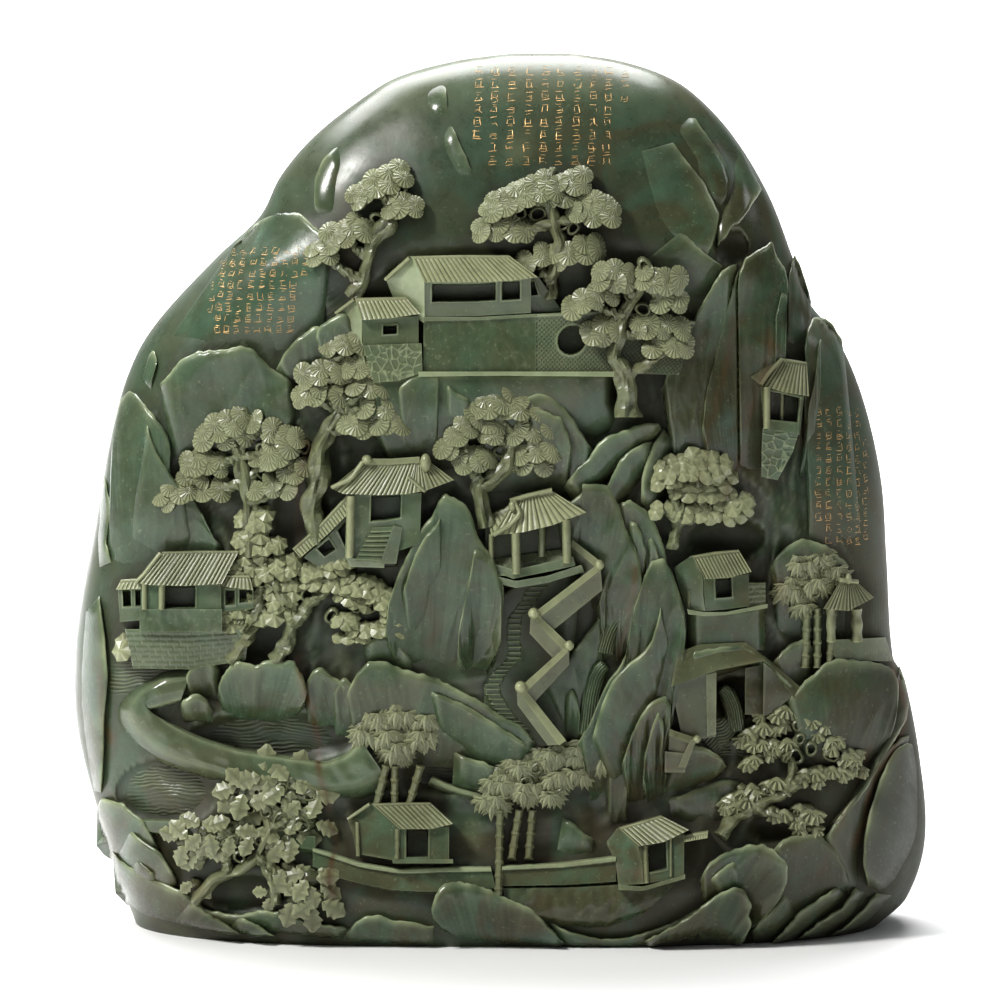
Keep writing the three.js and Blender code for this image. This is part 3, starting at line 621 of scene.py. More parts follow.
# %% Points along a line
def along(line, share, soften=0.0):
    """Points at shares of a line's length, with corners rounded by averaging two nearby points."""
    line = np.asarray(line, float)
    way = np.concatenate([[0], np.cumsum(np.hypot(*np.diff(line, axis=0).T))])
    way = way / way[-1]

    def at(where):
        """Points of the line at these shares, held at its ends."""
        where = np.clip(where, 0, 1)
        return np.stack([np.interp(where, way, line[:, k]) for k in range(line.shape[1])], -1)

    return (at(share - soften) + at(share + soften)) / 2, way


def length_of(line):
    """Length of a drawn line: the sum of its parts."""
    return np.hypot(*np.diff(np.array(line, float), axis=0).T).sum()


bent = [(0, 0), (10, 0), (10, 10)]
print("a bent line:", length_of(bent), "mm long, half way along it:", along(bent, np.array([0.5]))[0])

# %% Rock face helper
# Rows below the ridge and how far the chamfer lies back at each, in mm
LIP_ROWS = np.array([0, 0, 0.3, 0.8, 1.4, 2.2, 3.2])
LIP_BACK = [2.0, 1.35, 0.7, 0.25, 0]
FRONT_SQUARE, BACK_SQUARE = 1.35, 2.8


def rock_face(ridge, foot, lift=8, even=False, steady=False, faded=False, side=FRONT, seed=1, grain=1.0):
    """proud(s, t) = lift (1 - t / 4 - 0.95 t^3) (1 - crease(s)), with s along the ridge, from a crisp
    ridge at t = 0 to a foot line just under the stone at t = 1, with a chamfer and folds down the
    face. An even ridge has no creases, a steady face sinks less, and a faded one thins out at both
    ends. The grain is the strength of the folds."""
    ridge, foot = np.array(ridge, float), np.array(foot, float)
    run = length_of(ridge)
    square = FRONT_SQUARE if side == FRONT else BACK_SQUARE
    s = np.linspace(0, 1, int(np.clip(run / square, 14, 130)))
    ragged = 1 if side == FRONT else 4
    upper, way = along(ridge, s, 0.8 * ragged ** 1.4 / run)
    lower = along(foot, s, 0.04)[0]
    drop = max(np.hypot(*(lower - upper).T).mean(), 8)
    rows = np.concatenate([LIP_ROWS, np.linspace(3.2, drop, int(np.clip(drop / square / 1.6, 6, 36)))[1:]])
    t = (rows / drop)[:, None]
    mm = rows[:, None]
    dent = 0 if even else 0.11 * min(grain, 1)
    crease = np.interp(s, way, dent * (np.arange(len(ridge)) % 2))[None] * step(t, 0, 0.3)
    end = min(12 / run, 0.45) if faded else min(7 / run, 0.3)
    ends = step(np.minimum(s, 1 - s), -0.1 * end if faded else -0.6 * end, end)[None]
    fall = 1 - 0.12 * t if steady else 1 - 0.25 * t - 0.95 * t ** 3
    broad = 1 - np.abs(uneven(s[None] * run + 0.45 * t * drop, t * drop * 0.4, 26, seed))
    narrow = 1 - np.abs(uneven(s[None] * run - 0.3 * t * drop, t * drop * 0.5, 10, seed + 50))
    folded = grain * (1.6 * broad + 0.45 * narrow - 1.2) * step(mm, 0.4, 9) * (1 - 0.5 * t) * min(1, lift / 7)
    proud = lift * fall * (1 - crease) * ends + folded
    proud = proud - np.interp(mm, LIP_ROWS[1:6], LIP_BACK) * min(1, lift / 5)
    proud = proud * np.ones_like(s)[None] - (1.5 * (1 - ends) if faded else 0)
    jag = 0.35 * ragged * uneven(s * run, 0 * s, 5 * ragged, seed + 9)[None] * (1 - t)
    across = upper[None, :, 0] + (lower[None, :, 0] - upper[None, :, 0]) * t
    up = upper[None, :, 1] + (lower[None, :, 1] - upper[None, :, 1]) * t + jag
    front = place(across, up, proud, side)
    root = -np.minimum(ROOTED, 0.8 * surface_depth(front[..., 0], front[..., 2], side))
    front[0] = place(across[0], up[0], root[0], side)
    front[..., 1] = np.minimum(front[..., 1], BACK_DEPTH)
    back = place(across, up, root, side)
    # Painted highlight: the lip just below the ridge is paler, fading down the face
    light = 1.1 * np.exp(-mm / 1.1) + 0.12 * np.exp(-mm / 9) + 0 * s[None]
    light[0] = 0
    # How strong the lip's painted highlight is, uneven along the ridge
    rubbed = (0.65 + 0.45 * uneven(s * run, 0 * s, 16, seed + 3))[None]
    return sheet(front, back, light * rubbed * (0.5 if faded else 1))


def rocks(first_seed, rows, side=FRONT):
    """Rock faces from rows of [lift, grain, ridge, foot, ways of cutting it], with seeds counted up
    from the first. A way is even, steady or faded."""
    return [rock_face(ridge, foot, lift, side=side, seed=first_seed + k, grain=grain,
                      **dict.fromkeys(ways, True))
            for k, (lift, grain, ridge, foot, *ways) in enumerate(rows)]


print("a face's first rows below its ridge, mm:", LIP_ROWS)

# %% [markdown]
# Each rock is given by two lines of the drawing, in millimetres across from the middle and up from
# the foot: first its crisp ridge, then the foot where its face sinks back into the stone or behind
# the next rock. The lift says how far the ridge stands proud in mm, and the grain how strongly the
# face is folded: about 0.1 on a polished face and over 1 on a rough one.

# %% Cliffs of the left side
left_cliffs = rocks(11, [
    # The polished face that bears the second writing
    (5, 0.12, [(-132, 340), (-126, 347), (-120, 351), (-111.5, 354), (-100, 354), (-93.5, 348),
     (-87.5, 343), (-84.5, 335)], [(-167.5, 290.5), (-150, 286), (-135, 285), (-120, 285), (-100, 287),
     (-87, 295.5)]),
    # The broad crag below it
    (8, 0.45, [(-170, 269), (-164.5, 274), (-162, 278), (-158, 282), (-150, 285.5), (-137.5, 286),
     (-130, 288), (-124, 287), (-119, 282), (-114, 277), (-107.5, 273), (-101.5, 268)], [(-164, 228),
     (-155, 226), (-142.5, 224), (-130, 222), (-115, 226), (-101.5, 240)]),
    # Two pale rocks at the left of the annex
    (9, 0.6, [(-112, 276), (-107.5, 284), (-104, 289), (-100, 292), (-96, 295.5), (-91, 298), (-86, 295),
     (-81.5, 290)], [(-107.5, 268), (-100, 266), (-90, 265), (-79, 270)]),
    (11, 1.7, [(-93, 288), (-90.5, 297), (-84.5, 301.5), (-77.5, 304), (-71.5, 300)], [(-86, 267),
     (-77.5, 265), (-67, 271)]),
    # The slab at the left edge, with a fold on it and worn facets at its side
    (6.5, 0.4, [(-194.5, 237), (-193.5, 250.5), (-191, 260.5), (-186, 266), (-181.5, 264), (-177, 258.5),
     (-172, 252.5), (-168, 247.5), (-165.5, 243), (-164, 237), (-166, 231.5), (-164, 224), (-160, 219),
     (-154, 214), (-148, 204), (-143.5, 194.5), (-138, 187)], [(-198, 182), (-189, 174), (-175, 175),
     (-160, 180), (-139, 182)]),
    (9, 0.4, [(-177, 253), (-174, 243), (-171, 235), (-166.5, 228), (-161, 219.5), (-155, 213)],
     [(-189, 182), (-180, 180), (-167.5, 180), (-150, 183)]),
    (4.5, 0.4, [(-198, 224), (-196.5, 215.5), (-194.5, 208), (-195.5, 200.5), (-197, 190.5), (-194, 180.5)],
     [(-201, 213), (-201, 203), (-202, 193), (-201, 177)]),
    (3, 0.3, [(-176, 283), (-173, 287), (-171, 280), (-174, 270)], [(-179, 271), (-177, 268), (-174, 266)]),
    # The upright slab beside the outer water
    (5.5, 0.5, [(-200.5, 164), (-197.5, 143), (-196, 123), (-198, 103), (-198.5, 83), (-200, 65)],
     [(-208, 157), (-210.5, 133), (-211.5, 113), (-208, 84), (-204, 64)]),
])
print("rock faces of the left side:", len(left_cliffs))

# %% Rocks of the left foot and the shore
left_cliffs += rocks(20, [
    # Flakes at the left foot, each behind the next
    (7, 0.5, [(-203.5, 56), (-200, 62.5), (-192.5, 61), (-188.5, 60), (-183.5, 55.5), (-178.5, 52),
     (-174.5, 45), (-170.5, 38)], [(-204, 38), (-199, 32), (-191, 29), (-180, 29), (-173, 31)]),
    (9.5, 0.5, [(-186.5, 48.5), (-180.5, 43), (-174, 39), (-170, 36.5), (-166, 30), (-161, 21)],
     [(-194, 29), (-187.5, 23), (-176, 18), (-164, 16)]),
    (9.5, 0.4, [(-183, 34), (-177, 28.5), (-171, 23.5)], [(-189, 23), (-180, 19), (-172, 18)]),
    (7, 0.5, [(-196, 36.5), (-189, 30), (-182, 26.5), (-175, 23), (-167, 20), (-160, 17), (-154, 13),
     (-148.5, 8.5), (-141, 6.5), (-130, 5), (-119, 8), (-109, 7), (-99, 3), (-87.5, 0.5), (-76, -0.5)],
     [(-196, 15.5), (-185, 4.5), (-175, 1), (-150, -2.5), (-120, -4.5), (-76, -7.5)]),
    (9, 0.3, [(-157, 14.5), (-147.5, 7), (-139, 2), (-129, -5)], [(-166, 0), (-152.5, -3), (-137, -5)]),
    (9, 0.3, [(-133, 6), (-122.5, 1), (-112, -6)], [(-139, -3.5), (-125, -6)]),
    # Boulders of the hooked shore
    (12, 0.2, [(-141, 113), (-140.5, 119), (-138.5, 124.5), (-135, 129), (-131, 132), (-126.5, 131),
     (-121.5, 129.5), (-117.5, 131.5), (-114, 132.5), (-108.5, 131.5), (-103.5, 132.5), (-98.5, 124.5),
     (-96, 116.5), (-98.5, 107.5)], [(-139, 106), (-131, 102.5), (-121.5, 102), (-112.5, 101),
     (-100, 105)]),
    (9, 0.3, [(-156.5, 118), (-156.5, 125), (-152.5, 131), (-148.5, 134.5), (-144, 131.5), (-139, 127)],
     [(-155, 112), (-150, 112), (-140, 111)]),
    (11, 0.3, [(-159.5, 107), (-159, 111.5), (-154, 115), (-150, 115.5), (-146, 112), (-143, 106.5)],
     [(-158, 101), (-152.5, 100), (-143.5, 101)]),
    (8, 0.6, [(-99, 116), (-95, 125), (-91, 129), (-87.5, 128), (-84.5, 124), (-79.5, 122), (-73, 117)],
     [(-96, 101), (-90, 99), (-82.5, 100), (-73, 104)]),
    # Shallow facets on the polished shoulder and top
    (2.4, 0.1, [(-91.5, 349), (-93, 360.5), (-92.5, 371), (-89, 380), (-84, 385.5), (-78.5, 391)],
     [(-83, 349), (-82, 360.5), (-81, 370.5), (-78, 383)], "faded"),
    (2.2, 0.1, [(-28.5, 422), (-27.5, 415), (-27, 408), (-25.5, 400)], [(-34, 420), (-38, 414), (-37, 407),
     (-30, 396)], "faded"),
    (2.4, 0.1, [(-26.5, 402), (-21.5, 390), (-16, 378), (-12, 368)], [(-31, 395), (-27, 382), (-20, 368)],
     "faded"),
])
cliffs_left = piece("cliffs_left", left_cliffs, rock_jade, crease=45)

# %% Hills of the middle
middle_cliffs = rocks(41, [
    # The face under the hall's ledge, and a rock before its left end
    (12, 0.25, [(-64.5, 248), (-62.5, 259), (-63, 267), (-61, 271.5), (-50, 273), (-30, 273.5), (0, 273.5),
     (30, 273.5), (50, 274), (57, 274)], [(-57.5, 227), (-45, 224), (-25, 226), (0, 232), (30, 237),
     (50, 242), (58, 248)], "even"),
    (14, 0.3, [(-53, 262), (-49.5, 268.5), (-44, 273.5), (-37.5, 275.5), (-31.5, 273), (-29.5, 266)],
     [(-51, 227), (-40, 225), (-29, 229)]),
    (13.5, 0.3, [(-30, 272), (-25, 267), (-19, 263), (-12, 260.5)], [(-30, 243), (-22.5, 240.5),
     (-13, 243)]),
    # The mound behind the pavilion's pine
    (12, 0.5, [(-16, 258), (-5, 261.5), (5, 262), (10, 262), (17.5, 265), (22.5, 264), (28, 260.5),
     (33, 255), (38, 247.5), (42, 241.5), (45.5, 236)], [(-10, 212), (5, 211), (20, 211), (32.5, 212),
     (44, 214)]),
    (14, 0.5, [(10, 256.5), (16, 257), (23, 255), (30, 252), (33.5, 243), (35.5, 232)], [(11, 215),
     (20, 213), (34, 215)]),
    # Rolls of rock that run down from the right
    (11, 0.3, [(30, 217), (37.5, 228), (42.5, 231.5), (48, 239.5), (52, 243), (57, 244.5), (63, 247),
     (70, 249.5), (77.5, 249.5), (79.5, 246.5)], [(37.5, 207), (45, 212), (52.5, 219.5), (62.5, 229),
     (70, 236), (78.5, 242.5)]),
    (10, 1.2, [(50, 213), (54.5, 223), (59, 232), (65, 237), (71, 240), (75.5, 241.5)], [(56, 202),
     (61, 209), (67.5, 219), (76, 230)]),
    (8, 0.8, [(69, 210), (69.5, 223), (72.5, 233), (76, 240.5), (80.5, 247)], [(77.5, 200), (81, 210.5),
     (84, 226), (87, 242)]),
    # The tall crag at the right of the pavilion, and thinner ones behind it
    (12, 0.45, [(27, 202), (31, 210), (36.5, 212), (40, 215.5), (40, 220), (45, 219.5), (52.5, 219),
     (55, 215.5), (58.5, 208), (61, 199), (65, 190.5), (68.5, 182), (70, 170.5), (70, 157)], [(29, 182),
     (36, 175.5), (42.5, 161), (50, 142), (57.5, 134), (66, 137)]),
    (9, 0.8, [(55.5, 207), (59.5, 210.5), (64, 211.5), (70, 208), (75, 203), (78, 195.5), (81, 187),
     (83, 174.5)], [(60, 182), (66, 162), (72.5, 157), (78.5, 162)]),
    (11, 0.6, [(59.5, 201.5), (66, 201), (69, 196.5), (70.5, 190.5), (73.5, 182)], [(62.5, 167), (67, 163),
     (71, 162)]),
    (11, 0.6, [(68.5, 191.5), (75, 193), (77, 187), (79.5, 176)], [(72.5, 162), (78.5, 162)]),
    # The crag between the gate tower and the stairs, with its two folds
    (13, 0.35, [(-58, 142), (-56, 160.5), (-51, 175.5), (-46, 185.5), (-43, 193), (-39, 199), (-34, 204),
     (-31, 211.5), (-28, 215.5), (-23.5, 212.5), (-17, 209), (-14, 202), (-12, 194), (-8, 188), (-4, 183),
     (-1.5, 175.5), (1.5, 167), (0.5, 153), (-0.5, 140.5), (-4, 131.5)], [(-54, 129), (-45, 125.5),
     (-30, 125), (-17.5, 124), (-7, 125.5)]),
    (15, 0.4, [(-50, 163), (-46, 175), (-42, 186.5), (-37.5, 194), (-32, 200), (-28, 207.5)], [(-49, 138),
     (-40, 135.5), (-34, 143), (-27, 163)]),
    (15.5, 0.4, [(-22, 129), (-21, 148), (-18, 163), (-15, 177), (-13.5, 187), (-10, 187), (-4, 182),
     (0.5, 167), (0, 143), (-4, 132)], [(-19, 125), (-12.5, 124), (-5, 127)]),
])
print("rock faces of the upper middle:", len(middle_cliffs))

# %% Hills around the stairs
middle_cliffs += rocks(56, [
    # The smooth slope that bears the stairs
    (4, 0.1, [(-4, 161), (1.5, 166), (10, 171.5), (22.5, 174), (40, 178)], [(-12, 88), (2.5, 87), (15, 88),
     (33, 92)], "steady"),
    # Hills between the lake and the stairs
    (9, 0.5, [(-78.5, 112), (-72.5, 124.5), (-66, 131.5), (-58, 132), (-50, 128), (-34, 124), (-24, 119),
     (-10, 111.5), (0, 104.5), (10, 99.5), (18.5, 90)], [(-75, 92), (-60, 84.5), (-40, 79), (-15, 79),
     (11, 76)]),
    (12, 0.5, [(-38, 118), (-27, 114), (-16, 109), (-5, 102), (7.5, 94), (15, 88)], [(-32, 91), (-12.5, 79),
     (11, 74)]),
    (8, 0.5, [(-24, 87), (-15, 83), (-8, 81.5), (0, 77)], [(-25, 68), (-12.5, 65), (0, 67)]),
    (8, 0.5, [(-85, 112), (-81, 121), (-77, 124), (-73, 118), (-67, 108)], [(-82.5, 95), (-75, 93),
     (-68, 94.5)]),
    (7, 0.5, [(-69, 138), (-64, 143), (-57, 145), (-51, 140.5), (-44, 132)], [(-67, 129), (-56, 127),
     (-44, 125)]),
    # The twisted blade of rock, with its shoulder and the folds at its foot
    (13, 0.5, [(37, 90), (44, 101), (49, 114), (53, 122), (57.5, 127.5), (61.5, 134.5), (63.5, 147),
     (65.5, 157.5), (68.5, 167), (71, 175), (74.5, 182), (80, 183), (84, 177.5), (87, 169), (90.5, 158),
     (91.5, 146), (90.5, 134), (87, 124), (82.5, 116.5)], [(44, 62), (52.5, 60.5), (62.5, 60), (72.5, 60.5),
     (82, 63)]),
    (16, 0.45, [(44, 90.5), (50, 111), (54.5, 121.5), (62, 130), (70, 135.5), (74.5, 142), (77.5, 152),
     (79.5, 163)], [(54, 64), (67.5, 67), (78, 92), (82.5, 112), (88.5, 133)]),
    (14.5, 1.1, [(59, 78), (64, 94), (68.5, 104), (73, 110.5), (78, 113.5), (82, 114.5), (84, 109),
     (83.5, 95.5), (82, 79)], [(62, 61.5), (70, 60), (77.5, 61), (82, 64.5)]),
    (16, 0.8, [(70, 67), (71, 85.5), (75, 100.5), (78, 107), (80.5, 100.5), (80, 82)], [(72.5, 60.5),
     (76, 60), (80, 62)]),
    # Rock behind the parapet
    (9, 1.3, [(47, 157), (50, 168), (52, 176.5), (56, 180), (60, 176), (62.5, 167), (64, 154.5)],
     [(50, 131), (56, 129), (63, 134)]),
    (6, 1.0, [(19, 118), (28, 129), (37, 139), (45, 149), (51.5, 157.5)], [(28, 94), (36, 91), (42, 93),
     (47, 112), (51.5, 130.5)]),
    (8, 0.8, [(30, 113), (35, 118), (38, 113), (40, 100.5)], [(31, 90.5), (40, 90.5)]),
    # The spit of land right of the blade
    (10, 0.5, [(82, 85), (89, 89), (96, 90.5), (102.5, 88), (109, 84), (112.5, 78.5)], [(77.5, 63),
     (85, 64), (95, 67.5), (105, 71), (111.5, 76.5)]),
    (5, 1.2, [(82, 63), (92, 66), (102, 70), (111, 73), (119, 72)], [(84, 52), (95, 51), (107.5, 52),
     (120, 57)]),
    (7, 0.5, [(52, 72), (55.5, 82), (59, 80.5), (62, 73), (63, 62)], [(52.5, 52), (57.5, 51), (62.5, 52)]),
    (5, 0.5, [(30, 54), (35, 52), (41, 46), (46, 43)], [(27.5, 38), (35, 35), (45, 35)]),
    # Rocks along the foot
    (10, 0.35, [(-33.5, 2), (-35, 8), (-33, 15), (-30, 20), (-26.5, 22), (-21, 22.5), (-15, 21.5),
     (-7.5, 19), (0, 15.5), (7.5, 12), (15, 9), (20, 4), (25.5, -2.5), (31.5, -9)], [(-30, -2), (-22.5, -7),
     (-10, -10.5), (10, -11.5), (29, -11.5)]),
    (6, 0.4, [(-77.5, -4), (-72.5, 2), (-67, 5), (-61, 5.5), (-54, 3), (-45, 2), (-33, -0.5)],
     [(-77.5, -8.5), (-55, -10), (-33, -11)]),
    (5, 0.3, [(23, 2.5), (30, -1), (40, -4), (50, -6.5), (62.5, -5.5), (74, -2.5), (86, 2), (97.5, 9),
     (106, 15)], [(30, -12), (50, -12.5), (75, -12), (102.5, -8)]),
])
piece("cliffs_middle", middle_cliffs, rock_jade, crease=45)

# %% Cliffs of the right side
right_cliffs = rocks(81, [
    # Shallow plates on the polished face at the upper right
    (3.2, 0.15, [(91, 403.5), (96, 401.5), (101, 394), (106.5, 386.5), (111.5, 378.5), (113.5, 369),
     (111, 360.5), (108, 353.5)], [(84.5, 399), (88, 393), (92, 387), (96.5, 380), (96.5, 374), (100, 367),
     (104.5, 359)], "faded"),
    (3, 0.15, [(85, 389), (90, 382), (95, 375.5), (100.5, 369), (104.5, 360.5), (108, 353.5), (106.5, 345),
     (104.5, 338), (102, 333)], [(68, 385), (71, 370.5), (74, 357), (80, 345), (87.5, 339.5), (96, 334)]),
    (3.5, 0.2, [(89, 345), (96, 338), (103, 332), (110, 327.5)], [(70, 330), (80, 319), (94, 312),
     (104, 314.5)]),
    (4.5, 0.3, [(130, 366.5), (125.5, 360), (122, 354), (119, 350), (114.5, 347), (111, 341.5),
     (107, 336.5)], [(119, 388), (115.5, 380.5), (114.5, 368), (111.5, 359), (106.5, 349)]),
    # Tall folded cliffs of the right side
    (9.5, 0.5, [(79, 266), (82.5, 275), (86, 283), (90, 290), (94.5, 297.5), (96.5, 304), (100.5, 310.5),
     (104.5, 318), (108.5, 324.5), (113.5, 328), (117, 328.5)], [(86, 221), (90, 220), (97.5, 218.5),
     (106, 217), (113.5, 216)]),
    (9, 0.3, [(99, 243), (101.5, 265.5), (105.5, 282), (108, 294), (110.5, 304), (113.5, 313), (116, 322),
     (118.5, 327)], [(106, 217), (110, 216.5), (114, 216.5), (118, 218)]),
]) + rocks(88, [
    (10.5, 0.35, [(116.5, 312), (118, 325), (121, 331.5), (126, 335), (131, 338), (134.5, 340),
     (136.5, 333), (141, 326.5), (142.5, 319), (142, 310.5), (141.5, 300.5), (140.5, 292)], [(117.5, 221),
     (124, 219), (131, 219), (137.5, 221), (141.5, 227)]),
    (12, 0.4, [(135, 298), (137.5, 309), (139, 315), (142, 313), (141, 298)], [(134, 253), (138, 250.5),
     (141.5, 253)]),
    (5.5, 0.45, [(142, 312), (143, 323), (145, 331), (146.5, 334), (149.5, 328), (152.5, 319),
     (155, 310.5)], [(141.5, 289), (146, 287), (151, 289), (154, 297)]),
    # The face at the right edge that bears the third writing
    (7, 0.15, [(149, 261), (151.5, 275.5), (150.5, 287), (152, 295.5), (155, 302.5), (161, 303),
     (165.5, 299), (170.5, 291.5)], [(153, 187), (160, 184), (170, 184), (180, 189)]),
    (9.5, 0.45, [(151, 253), (154, 265), (156.5, 277), (157.5, 288), (160, 296)], [(148, 223), (151.5, 224),
     (155, 228), (159, 243)]),
    # Rock behind the bamboo and the small pavilion
    (7, 0.6, [(133, 177), (137.5, 185), (144, 190), (150, 192.5), (161, 189.5), (173, 179)], [(137.5, 142),
     (150, 141), (171, 142)]),
])
print("rock faces of the upper right:", len(right_cliffs))

# %% Rocks of the right foot
right_cliffs += rocks(94, [
    # The smooth terrace under the right house
    (11, 0.08, [(91.5, 156), (95, 157), (110, 156.5), (122.5, 158.5), (132, 160)], [(92, 137), (110, 137),
     (132, 137)], "even", "steady"),
    # The cave's roof slab and the rock at its right
    (14, 0.15, [(90.5, 132.5), (95, 136.5), (101, 138), (119, 140), (123, 138), (133, 130.5), (140, 123.5),
     (147.5, 117)], [(92, 113), (106, 123), (117.5, 126), (130, 129), (136, 118), (144, 112)]),
    (8, 0.4, [(133, 129), (139.5, 136.5), (144.5, 140.5), (150.5, 142.5), (156.5, 138)], [(139, 116),
     (145, 114), (154, 121)]),
    (11, 0.35, [(140, 111), (146, 116), (150.5, 121.5), (155.5, 125), (160, 130), (167, 133), (175, 132),
     (185, 131), (192, 129), (196.5, 126), (198.5, 120), (198, 110.5), (196.5, 99.5)], [(149, 82),
     (160, 76.5), (172.5, 75), (184, 78.5), (194, 88)]),
    # Long slabs at the right edge
    (8.5, 0.4, [(199.5, 129), (202.5, 121), (204.5, 112), (202.5, 102), (197, 93), (190.5, 83), (184.5, 72),
     (178.5, 63), (171.5, 55), (164, 46)], [(196.5, 117), (196.5, 105), (189.5, 92), (182.5, 79),
     (174.5, 65.5), (167, 56), (160, 46)]),
    (8, 0.45, [(159, 41), (165, 50), (171.5, 59), (178, 67), (183, 74), (187, 81), (192, 87), (198.5, 92),
     (204.5, 94)], [(175, 9.5), (179, 18), (178.5, 32), (180.5, 45.5), (184, 62), (191, 74.5),
     (203.5, 87)]),
    (10, 0.25, [(183, 19), (180, 30), (180.5, 42), (182.5, 54), (185.5, 63), (188, 71), (192, 80.5),
     (196.5, 87), (202, 90.5), (206, 89)], [(188, 15.5), (196, 18.5), (200.5, 26), (206, 34), (210, 44),
     (209.5, 63), (208, 78)]),
    # Overlapping rocks at the right foot
    (8, 0.3, [(134, 37), (140, 43), (146, 45), (153, 46), (158, 46), (161.5, 42), (166, 38), (169, 31.5),
     (173, 24)], [(125, -10), (137.5, -8), (150, -3), (165, 9), (175, 19)]),
    (11.5, 0.35, [(98, 22), (102, 30), (108, 35), (115, 38), (123, 40.5), (130, 40.5), (135.5, 38),
     (139, 34), (142, 31), (142, 22), (138, 13), (131.5, 5), (125.5, -1)], [(100, 9), (107.5, 9),
     (117.5, 4), (124, -2)]),
    (13, 0.3, [(101, 21), (106, 26), (112, 31), (119, 35)], [(108, 13), (115, 14), (123, 18)]),
    (12.5, 0.3, [(70, -8), (77.5, -4), (87, 1), (96, 7), (103, 13), (108, 16.5), (115, 19.5), (120, 19),
     (122.5, 14), (124.5, 10), (122.5, 5.5), (124.5, 1.5), (122, -4.5), (119, -10.5)], [(72.5, -12),
     (90, -12.5), (105, -12.5), (117.5, -12)]),
    (7, 0.3, [(123, -3), (131, 5), (138, 12), (143, 20)], [(126, -11), (137.5, -8), (151, 4)]),
    (9, 0.3, [(133, -10.5), (142, -1), (148, 7), (156, 12), (168, 20)], [(145, -9), (155, -1), (173, 14)]),
    (7.5, 0.3, [(146.5, -8), (157.5, 1), (170, 9), (176.5, 19)], [(161, -6.5), (175, 4), (182, 15.5)]),
    (6, 0.3, [(164, -6), (173, 0), (181, 8), (187, 16)], [(173, -5), (184, 1), (196, 14)]),
])
cliffs_right = piece("cliffs_right", right_cliffs, rock_jade, crease=45)

# %% [markdown]
# The back shows no scene. Its finish is taken to be the plainer kind: four broad uneven faces, which
# are cut in the same way on a coarser grid and thin out at both ends.

# %% Back faces
back_faces = rocks(141, [
    # A long ridge that climbs across, and a broad face beside it
    (4.5, 0.7, [(-188, 150), (-160, 191), (-117, 214), (-71, 262), (-25, 294), (19, 337), (53, 351)],
     [(-179, 136), (-120, 148), (-60, 186), (0, 236), (48, 318)], "faded"),
    (4.5, 0.7, [(8, 246), (29, 283), (65, 301), (105, 289), (141, 257), (165, 212)], [(18, 230), (58, 203),
     (110, 187), (158, 195)], "faded"),
    # Two lower folds of unequal height
    (3.4, 0.7, [(-197, 84), (-171, 118), (-121, 127), (-84, 153), (-41, 149), (-12, 118)], [(-187, 70),
     (-131, 51), (-70, 62), (-20, 100)], "faded"),
    (3.4, 0.7, [(2, 97), (29, 131), (66, 139), (97, 176), (140, 183), (178, 151), (194, 112)], [(12, 82),
     (60, 58), (121, 70), (186, 98)], "faded"),
], BACK)
piece("cliffs_back", back_faces, rock_jade, crease=45)

# %% [markdown]
# ## Banks, walls and water
# The shore is a smooth hooked embankment round a lake, and low retaining walls hold the gardens at
# the foot. Each is a ribbon between two drawn lines, raised by a profile across it. Water is a fine
# sheet in each hollow, engraved with ripples.

# %% Ribbons
def rooted(across, up, proud, light):
    """A sheet that stands proud of the stone and is closed ROOTED mm inside it."""
    return sheet(place(across, up, proud), place(across, up, -ROOTED + 0 * proud), light)


def ribbon(inner, outer, profile, light, steps=120, rows=16, wave=0.0, seed=1):
    """A strip from an inner to an outer line: proud height and lightness are given across it."""
    s, t = np.linspace(0, 1, steps), np.linspace(0, 1, rows)[:, None]
    first, second = along(inner, s, 0.01)[0], along(outer, s, 0.01)[0]
    at = first[None] + (second - first)[None] * t[..., None]
    proud = np.interp(t, *np.array(profile, float).T) + wave * uneven(at[..., 0], at[..., 1], 9, seed)
    return rooted(at[..., 0], at[..., 1], proud, np.interp(t, *np.array(light, float).T) + 0 * s[None])


# The light profiles paint highlights on the edges and tops of banks and on the copings of walls, kerbs and
# shelves, and leave their faces darker
BANK = [(0, -6), (0.05, 4), (0.10, 6.4), (0.35, 7.5), (0.62, 7.2), (0.72, 6.0), (0.92, 1.5), (1, -3)]
BANK_LIGHT = [(0, 0.5), (0.1, 0.45), (0.2, 0.15), (0.6, 0.12), (0.72, 0.3), (0.85, 0.12), (1, 0)]
embankment = ribbon(
    [(-159, 111), (-167.5, 108.5), (-172.5, 107), (-176, 106.5), (-176.5, 106), (-175, 105.5), (-170, 103.5),
     (-162.5, 100), (-147.5, 93.5), (-130, 88), (-100, 84), (-87, 82), (-78, 86), (-70, 94)],
    [(-152, 130), (-168, 127.5), (-180, 120.5), (-190, 113), (-193.5, 105.5), (-191, 98), (-182.5, 89),
     (-170, 80.5), (-150, 74), (-132.5, 68), (-110, 64), (-90, 62), (-70, 62), (-52, 68)],
    BANK, BANK_LIGHT, 150, 22, 0.25, 3,
)
WALL = [(0, -4), (0.02, 6.2), (0.08, 8.2), (0.2, 8.2), (0.24, 6.4), (0.9, 6.0), (1, -2)]
WALL_LIGHT = [(0, 0.6), (0.05, 0.9), (0.2, 0.75), (0.26, 0.12), (1, 0.1)]
KERB, KERB_LIGHT = [(0, -3), (0.03, 4.5), (0.7, 5.5), (1, -4)], [(0, 0.35), (0.06, 0.1), (1, 0.02)]
SHELF, SHELF_LIGHT = [(0, -3), (0.08, 5), (0.7, 5.5), (1, -3)], [(0, 0.4), (0.15, 0.1), (1, 0.02)]
SPIT, SPIT_LIGHT = [(0, -6), (0.2, 3), (0.6, 3.5), (1, -2)], [(0, 0.9), (0.4, 0.7), (1, 0.1)]
